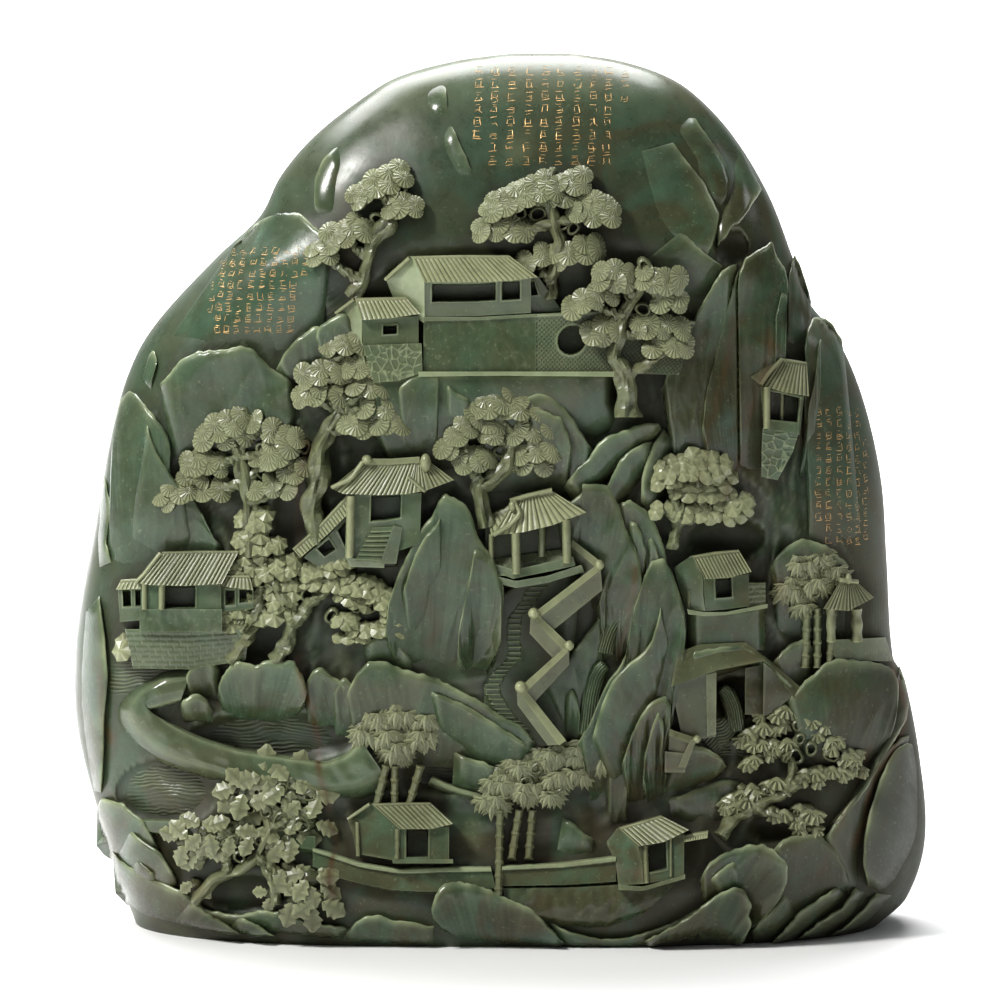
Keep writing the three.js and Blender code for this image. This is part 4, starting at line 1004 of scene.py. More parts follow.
banks = [
    embankment,
    # The two garden walls at the foot, and the kerb before the second
    ribbon([(-94, 39.5), (-85, 37), (-70, 32), (-50, 29), (-30, 30), (-5, 30)],
           [(-94, 29), (-77.5, 22), (-55, 17), (-35, 16), (-15, 16.5), (-2, 18)],
           WALL, WALL_LIGHT, 90, 40, 0.05),
    ribbon([(0, 30.5), (30, 32), (50, 34.5), (57, 35.5)], [(0, 19), (30, 19.5), (50, 20.5), (57, 21)],
           WALL, WALL_LIGHT, 70, 40, 0.05),
    ribbon([(0, 20), (30, 20.5), (57, 22), (92, 26)], [(4, 2), (30, -4), (50, -4), (66, 2)],
           KERB, KERB_LIGHT, 80, 20, 0.3),
    # The shelf under the lake, and a spit of land by the pond
    ribbon([(-180, 53), (-150, 53), (-128, 51), (-92, 46)], [(-178, 44), (-150, 40), (-120, 38), (-92, 34)],
           SHELF, SHELF_LIGHT, 80, 16, 0.2),
    ribbon([(-34, 75), (-28, 72), (-20, 69), (-8, 66)], [(-37, 70), (-28, 66), (-18, 63), (-8, 60)],
           SPIT, SPIT_LIGHT, 40, 12, 0.1),
]
piece("banks_and_walls", banks, rock_jade, crease=45)

# %% [markdown]
# Water lies in the hollows, engraved with rows of small waves. A bump texture would only shade the
# waves, so they are real: a fine grid raised by a sine, which dies away in patches as it does where
# the carver's strokes end.

# %% Water
def water(left, right, low, high, level, pitch, seed, height=0.3):
    """Ripples: height sin(2 pi (up + wander) / pitch), dying away and sinking at the sheet's border."""
    across = np.linspace(left, right, int((right - left) / 1.1))[None]
    up = np.linspace(low, high, int((high - low) / (pitch / 5)))[:, None]
    wander = 1.4 * uneven(across, up, 30, seed) + 0.35 * uneven(across, up, 8, seed + 1)
    patch = step(uneven(across, up * 2, 22, seed + 2), -0.5, 0.4)
    edge = np.minimum(np.minimum(across - left, right - across) / 6, np.minimum(up - low, high - up) / 3)
    crest = height * np.sin(2 * np.pi * (up + wander) / pitch)
    proud = level + crest * (0.35 + 0.65 * patch) - 4 * (1 - step(edge, 0, 1))
    # Painted highlight: the crests of the ripples are paler
    return rooted(across, up, proud, np.clip(crest / height, 0, 1) * 0.35 * patch + 0.05)


lakes = [
    water(-160, -72, 82, 106, -6.2, 1.9, 201),
    water(-196, -128, 52, 92, -4.6, 1.8, 203),
    water(-200, -150, 112, 134, 0.3, 1.8, 205),
    water(-50, -12, 66, 88, -6.5, 1.7, 207, 0.2),
    water(86, 128, 82, 100, 0.2, 1.8, 209),
]
piece("water", lakes, polished_jade, crease=60)

# %% [markdown]
# Streams fall between the rocks as bundles of grooves, and the path climbs as short raised strokes.
# Both are narrow strips, so one parameter runs along a drawn line and the other across it.

# %% Falling water
def groove(distance, width=0.32):
    """1 on a line, falling off as exp(-(distance / width)^2)."""
    return np.exp(-((distance / width) ** 2))


def to_line(value, pitch):
    """Distance to the nearest of evenly spaced lines."""
    return np.abs(np.mod(value + pitch / 2, pitch) - pitch / 2)


def fall_of_water(line, widths, level, seed, pitch=1.3):
    """A tongue of water along a line: grooves run with the fall, proud = level cos(bulge) + ridges."""
    s, t = np.linspace(0, 1, 50)[:, None], np.linspace(-1, 1, 64)[None]
    at = along(line, s[:, 0], 0.05)[0]
    way = np.gradient(at, axis=0)
    aside = np.stack([way[:, 1], -way[:, 0]], -1) / np.hypot(way[:, 0], way[:, 1])[:, None]
    width = np.interp(s[:, 0], np.linspace(0, 1, len(widths)), widths)
    across = at[:, :1] + aside[:, :1] * width[:, None] * t
    up = at[:, 1:] + aside[:, 1:] * width[:, None] * t
    cut = np.cos(2 * np.pi * t * width[:, None] / pitch + 1.2 * uneven(s * 30, t * 3, 14, seed))
    proud = level * np.sqrt(np.maximum(1 - t ** 2, 0)) + 0.28 * cut * (1 - t ** 4) - 3 * np.abs(t) ** 8
    ends = step(np.minimum(s, 1 - s), 0, 0.08)
    proud = proud * ends - 4 * (1 - ends)
    # Painted highlight on the raised ridges of the falling water
    return rooted(across, up, proud, 0.02 + 0.22 * np.clip(cut, 0, 1) + 0 * s)


print("distances to lines 2 mm apart:", to_line(np.array([0.0, 0.5, 1.5]), 2))

# %% Stairs and streams
def steps_of_stone(line, widths, levels, pitch=2.8):
    """Shallow stairs: one thin raised stroke each pitch along the line, faded at both ends."""
    length = length_of(line)
    s, t = np.linspace(0, 1, int(length / pitch) * 8)[:, None], np.linspace(-1, 1, 22)[None]
    at = along(line, s[:, 0], 0.02)[0]
    width = np.interp(s[:, 0], np.linspace(0, 1, len(widths)), widths)[:, None]
    across = at[:, :1] + width / 2 * t
    up = at[:, 1:] + 0 * t
    side = 1 - step(np.abs(t + 0.12 * uneven(up, up, 3, 3)), 0.7, 1)
    edge = groove(to_line(s * length, pitch), 0.38) * side
    base = np.interp(s[:, 0], np.linspace(0, 1, len(levels)), levels)[:, None]
    proud = base + 0.5 * edge - 0.9 * (1 - side)
    # Painted highlight at the edge of each step
    return rooted(across, up, proud, 0.02 + 0.75 * edge)


streams = [
    fall_of_water([(59, 153.5), (55.5, 149), (52.5, 143), (51, 134)], [2.5, 5, 5.5, 5.5], 6.5, 211),
    fall_of_water([(53, 132), (47.5, 126), (44.5, 113), (43, 103), (42, 92)], [3, 5.5, 6, 5.5, 5], 7, 212),
    fall_of_water([(108, 119), (112, 116), (115.5, 108), (117, 99), (117, 95)],
                  [2.5, 4.5, 5, 5, 4.5], 5, 213, 1.2),
    fall_of_water([(116, 101), (111, 97.5), (105, 95), (100, 90)], [5, 8, 10, 9], 2.5, 214, 1.6),
    steps_of_stone([(20.5, 173), (18.5, 169), (15, 164.5), (12.5, 159.5), (7, 154.5), (6, 148),
                    (6, 140.5), (7, 134.5), (4, 130.5), (0, 127), (-3.5, 122), (-5, 117), (-2, 112),
                    (1.5, 106), (6, 101), (12, 96.5)], [12, 9, 8, 8, 8, 9, 9, 9], [4.4, 4.3, 4.2, 4.1]),
    steps_of_stone([(-60, 202), (-60, 190), (-60, 178)], [17, 17], [3, 3], 2.4),
]
piece("streams_and_stairs", streams, rock_jade, crease=45)

# %% [markdown]
# ## Houses and pavilions
# The carver drew the buildings slanting, with a gable and a front seen at once and no vanishing
# point. A true box would turn those slanted lines upright, so each roof slope and each wall is made
# as a panel: a face between two drawn lines that each say how far it stands out. The eaves stand
# out furthest, the walls less, and doors and windows are pushed in.

# %% Panels
USUAL_GRID = (0.4, 0.62)


def panel(first, second, pattern, light=0.1):
    """A face from a first to a second line of [across, up, proud]: s runs along both and t leads
    from one to the other. The pattern adds height and light at its distances in mm."""
    run = sum(length_of(np.array(line, float)[:, :2]) for line in (first, second)) / 2
    along_step, down_step = COARSE.get(pattern, USUAL_GRID)
    s = np.linspace(0, 1, int(np.clip(run / along_step, 8, 190)))
    upper, lower = along(first, s)[0], along(second, s)[0]
    drop = np.hypot(*(lower - upper)[:, :2].T).mean()
    t = np.linspace(0, 1, int(np.clip(drop / down_step, 6, 90)))[:, None]
    at = upper[None] + (lower - upper)[None] * t[..., None]
    height, lit = pattern(s[None] * run + 0 * t, t * drop + 0 * s[None], run, drop)
    return rooted(at[..., 0], at[..., 1], at[..., 2] + height, np.clip(light + lit, 0, 1))


print("usual grid of a panel in mm, along and down:", USUAL_GRID)

# %% Patterns of the walls
# The round gate's middle and radius, and how far openings are pushed in
GATE, PUSHED_IN = (18.4, 13.5, 6.8), 8


# A pattern takes the distances x and y from the panel's first corner and the panel's length and
# drop, all in mm, and gives the height and the lightness to add.
def plain(x, y, run, drop):
    """A rubbed face, uneven by a tenth of a millimetre."""
    return 0.1 * uneven(x, y, 9, 4), 0 * x


def scored(x, y, run, drop):
    """A face left with the faint strokes of the tool."""
    stroke = groove(uneven(x, y, 11, 4), 0.035) + groove(uneven(x, y, 14, 8), 0.03)
    return 0.06 * uneven(x * 1.4, y * 0.9, 5, 4) - 0.12 * stroke, 0.25 * stroke


def bricks(x, y, run, drop):
    """Courses 2.5 mm high, with joints that change over in each course."""
    course = np.floor(y / 2.5)
    joint = np.maximum(groove(to_line(y, 2.5)), groove(to_line(x + 3.2 * np.mod(course, 2), 6.4)))
    return -0.35 * joint, 0.3 * joint


def crazed(x, y, run, drop):
    """Cracked-ice paving: thin raised lines where the two nearest of some seeded points are equally far."""
    dice = np.random.default_rng(7)
    seeds = dice.uniform((0, 0), (run, drop), (int(run * drop / 16) + 4, 2))
    gaps = np.sort([np.hypot(x - a, y - b) for a, b in seeds], axis=0)
    line = groove(gaps[1] - gaps[0], 0.45)
    return 0.3 * line, 0.45 * line


def lattice(x, y, run, drop):
    """Fine diagonal bars, with the round gate cut through them where the drawing has it."""
    bars = np.maximum(groove(to_line(x + y, 2.3), 0.28), groove(to_line(x - y, 2.3), 0.28))
    away = np.hypot(x - GATE[0], y - GATE[1]) - GATE[2]
    inside, ring = 1 - step(away, -0.2, 0.3), groove(away - 0.9, 0.6)
    coping = groove(y - 0.9, 0.8)
    bars = bars * step(away, 1.2, 1.6) * step(y, 2.2, 2.8)
    height = 0.3 * bars + 0.5 * ring + 0.6 * coping - PUSHED_IN * inside
    # Painted light: bars, ring and coping paler as highlights, the gate's opening darker as its shade
    return height, 0.3 * bars + 0.4 * ring + 0.6 * coping - inside


print("wall patterns:", [pattern.__name__ for pattern in (plain, scored, bricks, crazed, lattice)])

# %% Patterns with a count or with openings
def tiles(count):
    """Rounded rows of tiles down the slope, below a raised coping."""
    def pattern(x, y, run, drop):
        """Ribs from |cos| of the place along the slope's length."""
        rib = 1 - (1 - np.abs(np.cos(np.pi * count * x / run))) ** 1.8
        rib = rib * step(y, 1.5, 2.3)
        coping = groove(y - 0.8, 0.7)
        # Painted highlight on the ribs and the coping
        return 0.7 * rib + 0.9 * coping, 0.5 * rib + 0.6 * coping
    return pattern


def treads(count):
    """A flight of stairs: each tread rises towards its own edge and falls back behind it."""
    def pattern(x, y, run, drop):
        """A saw tooth down the flight, with a painted highlight at each tread's edge."""
        part = np.mod(count * y / drop, 1)
        return 1.1 * part, 0.5 * step(part, 0.7, 0.95)
    return pattern


def holes(openings):
    """Doors and windows, each from left to right and from head to sill, pushed in with a thin
    raised frame."""
    def pattern(x, y, run, drop):
        """A rubbed face with each opening pushed in where all four of its sides are passed."""
        height, lit = plain(x, y, run, drop)
        for left, right, head, sill in openings:
            inside = np.minimum(np.minimum(x - left, right - x), np.minimum(y - head, sill - y))
            deep, edge = step(inside, -0.2, 0.3), groove(inside + 0.6, 0.5)
            height = height - PUSHED_IN * deep + 0.35 * edge
            # Painted light: the frame is paler and the opening darker, as the shade inside it
            lit = lit + 0.2 * edge - deep
        return height, lit
    return pattern


# The grid steps of panels with little on them
COARSE = {plain: (1.5, 1.5), scored: (0.6, 0.8)}
print("counted patterns:", [pattern.__name__ for pattern in (tiles, treads, holes)])

# %% [markdown]
# The roofs come first. Each entry is the ridge line, the eave line, how many rows of tiles lie
# between its two ends, and how light the slope is: a painted light, palest on the slopes that
# catch most light.

# %% Roofs
roof_panels = [
    # The hall: a plain ridge, and tile rows that lean to the right
    ([(-44, 332, 8), (-20, 332.5, 8), (3.5, 332.5, 8)], [(-38, 319, 16), (-10, 319, 16), (6, 320, 16),
     (18, 321.5, 15)], tiles(22), 1.0),
    # The annex at its left
    ([(-72.5, 311.5, 9), (-47.5, 312, 9)], [(-69, 300.5, 16), (-54, 301.5, 16), (-40, 303.5, 16)],
     tiles(13), 0.6),
    # The gate tower: a swept front slope and a fanned right wing
    ([(-69, 230, 10), (-55, 230, 10), (-42, 231, 10)], [(-84.5, 217.5, 14), (-78, 214.5, 16),
     (-60, 214, 16.5), (-47, 214.5, 16.5)], tiles(17), 0.15),
    ([(-42.5, 230.5, 10), (-37, 231.5, 9)], [(-47.5, 214.5, 16.5), (-38, 216, 16), (-23.5, 221.5, 12)],
     tiles(11), 0.15),
    ([(-68, 232, 11.5), (-55, 232, 11.5), (-40.5, 233, 11.5)], [(-68, 229.5, 11.5), (-55, 229, 11.5),
     (-40.5, 230, 11.5)], plain, 0.6),
    # The covered way, whose roof climbs to the tower
    ([(-103.5, 187.5, 12), (-90, 199.5, 12), (-77, 213.5, 12)], [(-99.5, 183, 14), (-86, 194.5, 14),
     (-73, 207.5, 14)], tiles(20), 0.25),
    # The house at the lake with its two low wings
    ([(-168, 186, 9), (-150, 186.5, 9), (-130, 186.5, 9)], [(-181, 170.5, 15), (-175, 169.5, 16),
     (-157.5, 169, 16), (-138.5, 170, 16)], tiles(19), 0.04),
    ([(-189, 172, 11), (-177, 173, 11)], [(-191.5, 167, 14), (-179, 167.5, 14)], tiles(6), 0.3),
    ([(-136, 174.5, 11), (-125, 174.5, 11)], [(-140.5, 169, 14), (-123, 167, 14)], tiles(8), 0.1),
    # The house behind the first garden wall
    ([(-64.5, 61, 9), (-50, 61.5, 9), (-35.5, 61.5, 9)], [(-50.5, 48.5, 16), (-35, 48.5, 16),
     (-24, 51, 15)], tiles(11), 0.1),
    # The house at the end of the second garden wall, and a stub of its fence
    ([(58, 49, 9), (68.5, 52, 9), (79, 55, 9)], [(68, 40, 16), (80, 42, 16), (93, 48, 15)], tiles(10), 0.2),
    ([(90.5, 45.5, 11), (102.5, 47.5, 11)], [(90.5, 42, 13), (102, 44, 13)], tiles(9), 0.4),
    # The house above the cave
    ([(94.5, 184, 9), (106, 186, 9), (117.5, 187, 9)], [(100.5, 172.5, 16), (112.5, 173, 16),
     (124, 176, 15)], tiles(14), 0.08),
    # The watchtower between the cliffs
    ([(139, 282, 9), (151.5, 280, 9)], [(128.5, 268.5, 14), (140, 265, 15), (152.5, 263, 15)], tiles(11),
     0.08),
    ([(137, 282, 6), (139, 282, 9)], [(123.5, 272.5, 9), (128.5, 268.5, 14)], plain, 0.05),
    # The cliff pavilion: a front slope, and a hip at its left
    ([(6.5, 212, 9), (15, 214.5, 9), (25, 216, 9)], [(-4.5, 194, 15), (10, 195.5, 16), (25, 199, 16),
     (42, 205.5, 15)], tiles(15), 0.5),
    ([(6, 211.5, 8), (1.5, 207.5, 7), (-3, 206, 6), (-7, 203.5, 5)], [(7.5, 211, 10), (9.5, 205.5, 13),
     (4, 199.5, 14), (-5, 194, 15)], tiles(8), 0.4),
    # The small pavilion by the bamboo
    ([(169, 172, 9), (176.5, 171, 9)], [(160, 157.5, 14), (172.5, 156.5, 15), (185.5, 163, 12)], tiles(13),
     0.05),
]
piece("roofs", [panel(*row) for row in roof_panels], relief_jade, crease=60)

# %% [markdown]
# The walls hang under the eaves. Lattice, crazed paving and courses of brick are the finest patterns
# of the carving, and so shallow that they are a tenth of a millimetre or two high.

# %% Walls of the upper buildings
# The last number of each row is the panel's lightness, a painted light: gables and ledges that catch the
# light are pale, fronts darker, and the insides of the pavilion dark
wall_panels = [
    # The hall: gable, front with its long window, and the plain wall below
    ([(-45, 332, 8), (-57.5, 321.5, 4), (-55.5, 316.5, 4), (-53, 310, 5), (-39, 299.5, 12)],
     [(-44, 332, 8.5), (-41, 325.5, 12), (-38, 319, 13.5), (-38, 310.5, 13.5), (-38, 299.5, 13.5)], plain,
     0.8),
    ([(-38.5, 319, 13), (-12.5, 319, 13), (14.5, 321, 13)], [(-38.5, 302, 13), (-12.5, 302.5, 13),
     (14.5, 304, 13)], holes([(4.5, 35.5, 1, 9), (39, 47.5, 1, 9.5)]), 0.14),
    ([(13.5, 321, 9), (18.5, 321.5, 8)], [(13.5, 304, 9), (30, 305, 8)], holes([(1.5, 4.5, 2, 8.5)]), 0.08),
    ([(-38.5, 302, 13.5), (-11, 302, 13.5), (17, 303.5, 13.5)], [(-38.5, 300, 13.5), (-11, 300.5, 13.5),
     (17, 302, 13.5)], plain, 0.3),
    ([(-38.5, 300.5, 12.5), (-11, 300.5, 12.5), (17, 303, 12.5)], [(-38.5, 274, 12.5), (-11, 274, 12.5),
     (17, 274, 12.5)], scored, 0.06),
    # The courtyard wall with its lattice and round gate, and the pale ledge under both
    ([(16.5, 303.5, 12), (50, 305, 12), (75, 303, 11), (96, 300, 10)], [(16.5, 274, 12), (50, 274, 12),
     (70, 274, 11), (88, 273.5, 10)], lattice, 0.08),
    ([(-41, 275, 14.5), (0, 275, 14.5), (56, 275, 14.5)], [(-41, 272.5, 14.5), (0, 273, 14.5),
     (56, 272.5, 14.5)], plain, 0.8),
    # The annex: gable, front with a small window, and crazed paving below
    ([(-73, 311.5, 8.5), (-82, 304, 5), (-78.5, 296.5, 6), (-71.5, 283, 8)], [(-72, 311.5, 9),
     (-69, 300.5, 13), (-69, 290.5, 13), (-67, 276, 13)], plain, 0.7),
    ([(-69, 300.5, 13), (-55, 301.5, 13), (-41, 302.5, 13)], [(-68.5, 287.5, 13), (-55, 288, 13),
     (-41, 288.5, 13)], holes([(10.5, 17, 4, 7.5)]), 0.16),
    ([(-68.5, 288, 14), (-55, 288.5, 14), (-39.5, 289, 14)], [(-63, 269.5, 14), (-51, 270.5, 14),
     (-39, 274.5, 14)], crazed, 0.25),
    # The gate tower: front with its door, and the flight of stairs with a rounded side
    ([(-76.5, 214, 13), (-57.5, 214, 13), (-39.5, 215, 13)], [(-77.5, 182, 13), (-57.5, 184, 13),
     (-40.5, 190, 13)], holes([(12.5, 27, 0.5, 12)]), 0.14),
    ([(-63.5, 198, 14.5), (-53, 198.5, 14.5)], [(-72.5, 181.5, 15.5), (-60, 181, 15.5)], treads(7), 0.15),
    ([(-53.5, 199, 16), (-49, 198, 14)], [(-60, 180, 17), (-52, 180, 14)], plain, 0.2),
    ([(-77, 183, 15), (-58, 181.5, 16)], [(-75, 178.5, 14), (-58, 178, 15)], plain, 0.3),
    # The covered way's arches
    ([(-98, 183, 10), (-85, 194.5, 10), (-73, 207, 10)], [(-89, 178, 9), (-77.5, 183, 9), (-72, 193, 9)],
     holes([(7, 13, 1.5, 7), (19, 25, 2, 9)]), 0.14),
]
print("wall panels of the upper buildings:", len(wall_panels))

# %% Walls of the lower buildings
wall_panels += [
    # The house at the lake: front, wings, plinth and courses of stone
    ([(-179, 170, 13), (-160, 169, 13), (-139, 170, 13)], [(-179, 156.5, 13), (-160, 156.5, 13),
     (-139, 156.5, 13)], holes([(12.5, 27, 0.5, 11)]), 0.1),
    ([(-190.5, 167.5, 11), (-178, 167.5, 11)], [(-189.5, 151, 10), (-178, 152, 10)],
     holes([(2.5, 6, 1, 8.5), (8.5, 12, 1, 8.5)]), 0.12),
    ([(-139.5, 168.5, 11), (-123, 167.5, 10)], [(-139.5, 156, 11), (-123, 158, 10)],
     holes([(3, 7, 1.5, 8), (10, 16, 1, 7)]), 0.1),
    ([(-179.5, 157.5, 14), (-160, 157.5, 14), (-138.5, 157.5, 14)], [(-179.5, 146, 13.5), (-160, 146, 13.5),
     (-138.5, 146, 13.5)], scored, 0.08),
    ([(-187, 147.5, 10), (-155, 147, 11), (-125, 148, 9)], [(-183, 128, 8), (-155, 127.5, 9),
     (-127, 132, 7)], bricks, 0.1),
    # The house behind the first garden wall: gable and front
    ([(-65, 61, 8.5), (-76.5, 53, 6), (-73.5, 45, 6), (-72, 36, 6)], [(-64, 60.5, 9), (-50.5, 48.5, 13.2),
     (-50.5, 40.5, 13.2), (-50.5, 32.5, 13.2)], plain, 0.06),
    ([(-50.5, 48.5, 13), (-38, 48.5, 13), (-26, 49.5, 13)], [(-50.5, 32.5, 13), (-38, 32.5, 13),
     (-26, 32.5, 13)], holes([(3.5, 14, 0.5, 14)]), 0.08),
    ([(-54, 33.5, 14), (-24, 33.5, 14)], [(-54, 31.5, 14), (-24, 31.5, 14)], plain, 0.2),
    # The house at the end of the second garden wall: gable and front
    ([(57.5, 48.5, 8), (52, 41.5, 6), (56.5, 32, 7), (58, 20.5, 8)], [(58.5, 48.5, 9), (68, 40, 13.2),
     (70, 30.5, 13.2), (70.5, 21.5, 13.2)], plain, 0.08),
    ([(68.5, 40, 13), (79, 42.5, 13), (90.5, 46, 13)], [(70.5, 21.5, 13), (80, 23, 13), (90.5, 26, 13)],
     holes([(3.5, 12.5, 1, 14)]), 0.1),
    ([(58, 21, 14), (70, 20, 14), (91, 26, 14)], [(58, 18.5, 14), (70, 18, 14), (91, 24, 14)], plain, 0.25),
    # The house above the cave: gable, front and a stub of brickwork
    ([(94, 184, 8), (85.5, 178, 5), (88, 168, 6), (92, 157.5, 8)], [(95, 184, 9), (100, 172.5, 13.2),
     (100, 164, 13.2), (101, 156.5, 13.2)], plain, 0.05),
    ([(100, 172.5, 13), (112.5, 173, 13), (122.5, 175, 13)], [(101, 156.5, 13), (112.5, 157.5, 13),
     (123, 159, 13)], holes([(6, 13.5, 0.5, 9.5)]), 0.08),
    ([(122, 170.5, 11), (131, 170.5, 11)], [(122, 158.5, 11), (131, 159.5, 11)], bricks, 0.2),
    ([(92, 157.5, 14), (100, 156, 14), (111, 156, 14), (132, 160, 13)], [(92.5, 155, 14), (100, 154, 14),
     (111, 154.5, 14), (132, 158, 13)], plain, 0.6),
    # The watchtower: front with its open storey, rail and crazed base
    ([(128.5, 268, 12.5), (130, 246, 12.5)], [(150, 263, 12.5), (148, 244, 12.5)],
     holes([(1.5, 15.5, 4, 18)]), 0.1),
    ([(129.5, 247, 13), (129, 235.5, 11.5), (129, 223, 10.5)], [(147.5, 245, 13), (144.5, 235.5, 11.5),
     (137, 221.5, 10.5)], crazed, 0.12),
    ([(132, 251.5, 13.5), (147.5, 250, 13.5)], [(132, 246, 13.5), (147, 244.5, 13.5)], scored, 0.2),
    # The cliff pavilion: dark inside, crazed floor, rail and platform
    ([(-8, 203, 4), (30, 207, 4)], [(-8, 182, 4), (33, 185, 4)], plain, 0),
    ([(-6, 182, 6), (15, 185, 6), (31, 187.5, 6)], [(-3, 174, 13), (15, 174.5, 13), (37, 180, 13)], crazed,
     0.5),
    ([(-8, 181.5, 10), (6, 177, 14.5)], [(-7, 177.5, 10), (6, 172.5, 14.5)], plain, 0.25),
    ([(5.5, 177, 14.5), (20, 180, 14.5), (35.5, 183.5, 14.5)], [(5.5, 172.5, 14.5), (20, 175.5, 14.5),
     (36.5, 179, 14.5)], plain, 0.25),
    ([(-7, 175, 13), (7, 171.5, 16), (22.5, 174, 16), (39.5, 179.5, 15)], [(-6, 171.5, 11), (7, 168, 14),
     (22.5, 170.5, 14), (41, 176, 13)], plain, 0.3),
    # The small pavilion's floor
    ([(164, 142, 8), (192, 143, 6)], [(166, 132, 8), (196, 131, 5)], scored, 0.3),
]
piece("house_walls", [panel(*row) for row in wall_panels], rock_jade, crease=50)

# %% [markdown]
# Posts, ridge rolls and tree trunks are all round forms along a line. A curve with a bevel would
# make an even pipe. Rings worked out along the line can also be flattened towards the stone and made
# knotty, so one helper serves the carpenter's posts and the trees alike.

# %% Tubes and knobs
def tube(line, radii, sides=12, deep=1.0, light=0.5, steps=24, twist=0.0, seed=1):
    """Rings carried along a line of [across, up, proud]: the ring lies across the way, stretched
    towards the stone by the deep factor, and is made uneven where it is bark."""
    s = np.linspace(0, 1, steps)
    at = along(line, s, 0.6 / steps)[0]
    spine = place(at[:, 0], at[:, 1], at[:, 2])
    way = np.gradient(spine, axis=0)
    way /= np.linalg.norm(way, axis=1)[:, None]
    out = np.broadcast_to([0.0, -1.0, 0.0], way.shape)
    aside = np.cross(way, out)
    aside /= np.linalg.norm(aside, axis=1)[:, None]
    out = np.cross(aside, way)
    turn = np.linspace(0, 2 * np.pi, sides + 1)[None, :-1]
    radius = np.interp(s, np.linspace(0, 1, len(radii)), radii)[:, None]
    s = s[:, None]
    bark = uneven(turn * 3 + s * 7, s * 30, 6, seed) + 0.3 * np.cos(6 * turn + 4 * np.sin(9 * s))
    radius = radius * (1 + twist * bark)
    rings = spine[:, None] + aside[:, None] * (radius * np.cos(turn))[..., None]
    rings = rings + out[:, None] * (radius * deep * np.sin(turn))[..., None]
    # Painted light: each ring is paler on the side that faces out of the stone and darker towards it
    return shell(rings, light * (0.55 + 0.45 * np.sin(turn)) + 0 * radius)


def knob(centre, half):
    """A rounded end piece: a ball stretched to its half width and half height."""
    a, b = np.linspace(0.1, np.pi - 0.1, 8)[:, None], np.linspace(0, 2 * np.pi, 13)[None, :-1]
    unit = np.stack([np.sin(a) * np.cos(b), np.sin(a) * np.sin(b), np.cos(a) + 0 * b], -1)
    return shell(unit * np.array([half[0], half[0] + 1, half[1]]) + place(*centre), 0.6)


print("points of a straight post:", len(tube([(0, 0, 10), (0, 20, 10)], [2, 2])[0]))

# %% Posts, ridge rolls and knobs
post_list = [
    # The tower's post, and the posts of the houses
    ([(-74.5, 214.5, 13), (-75, 182.5, 13)], [2.2, 2.2], 0.7),
    ([(-177, 170.5, 13.5), (-177, 157, 13.5)], [1.4, 1.4], 0.5),
    ([(-168.5, 170.5, 13.5), (-168.5, 157, 13.5)], [1.6, 1.6], 0.5),
    ([(-71.5, 52, 7), (-71, 34.5, 7)], [1.1, 1.1], 0.4),
    ([(-51.5, 48.5, 12.4), (-51.5, 33, 12.4)], [1.3, 1.3], 0.3),
    ([(71.5, 40, 12.2), (72, 21, 12.2)], [1.3, 1.3], 0.4),
    ([(84, 44, 13.5), (84, 24.5, 13.5)], [0.7, 0.7], 0.3),
    ([(131.5, 268, 13.5), (131.5, 246.5, 13.5)], [1.7, 1.7], 0.5),
    ([(139, 266.5, 9), (139, 249.5, 9)], [1.0, 1.0], 0.3),
    ([(93, 183, 6), (93, 157, 8)], [1.1, 1.1], 0.25),
    # The posts of the cliff pavilion and of the small one
    ([(7, 195.5, 14.5), (7.5, 174.5, 15)], [2.2, 2.2], 0.5),
    ([(32, 202, 14), (32.5, 180, 14.5)], [2.2, 2.2], 0.5),
    ([(20, 199, 9), (20, 183.5, 9)], [1.8, 1.8], 0.15),
    ([(-5, 195, 10), (-5, 179, 10)], [1.3, 1.3], 0.4),
    ([(163.5, 158, 10), (164, 141, 9)], [2.4, 1.9, 2.5, 2.0, 2.4], 0.45),
    ([(176.5, 158, 10), (177, 141, 9)], [3.0, 2.3, 3.1, 2.4, 3.0], 0.45),
    # The rolls on the hips and ridges
    ([(-68.5, 230.5, 11.5), (-74.5, 222, 14.5), (-84.5, 217.5, 16)], [1.2, 1.3, 1.0], 0.75),
    ([(-46, 223, 14), (-37.5, 215.5, 17)], [0.9, 0.9], 0.45),
    ([(-169, 185.5, 10), (-177, 175, 13.5), (-181.5, 170.5, 16)], [1.1, 1.2, 1.0], 0.7),
    ([(6, 211.5, 11), (9.5, 205, 14), (4, 199, 15.5), (-4.5, 194, 17)], [1.1, 1.3, 1.2, 1.1], 0.7),
    ([(4, 211, 10), (13.5, 214, 10.5), (25.5, 216.5, 10)], [1.3, 1.1, 1.3], 0.75),
    ([(139, 281.5, 11), (132.5, 274.5, 13), (128.5, 268.5, 15.5)], [0.9, 1.0, 0.8], 0.4),
    ([(168, 172, 10), (177, 171, 10)], [1.1, 1.1], 0.7),
    ([(-65, 61, 10), (-76.5, 53, 8)], [0.9, 0.9], 0.6),
    ([(-45, 331.5, 10), (-57.5, 320.5, 6)], [1.0, 1.0], 0.7),
    ([(-72.5, 311, 10), (-82, 304, 7)], [0.9, 0.9], 0.7),
]
KNOBS = [
    ((-66.5, 231.5, 12), (2.6, 2.4)), ((-37.5, 230, 12), (2.8, 4.6)), ((5.5, 208.5, 12), (2.0, 3.0)),
    ((48.5, 179.5, 16), (2.3, 2.6)), ((16, 155.5, 17), (2.8, 2.8)), ((33.5, 139.5, 17), (2.4, 2.6)),
    ((9.5, 119, 17.5), (2.9, 3.0)), ((97, 93, 15), (1.9, 2.0)), ((172.5, 172.5, 10.5), (1.6, 2.6)),
]
posts = [tube(line, radii, sides=12, deep=1.6, light=light, steps=14) for line, radii, light in post_list]
piece("posts_and_rolls", posts + [knob(centre, half) for centre, half in KNOBS], relief_jade, crease=50)

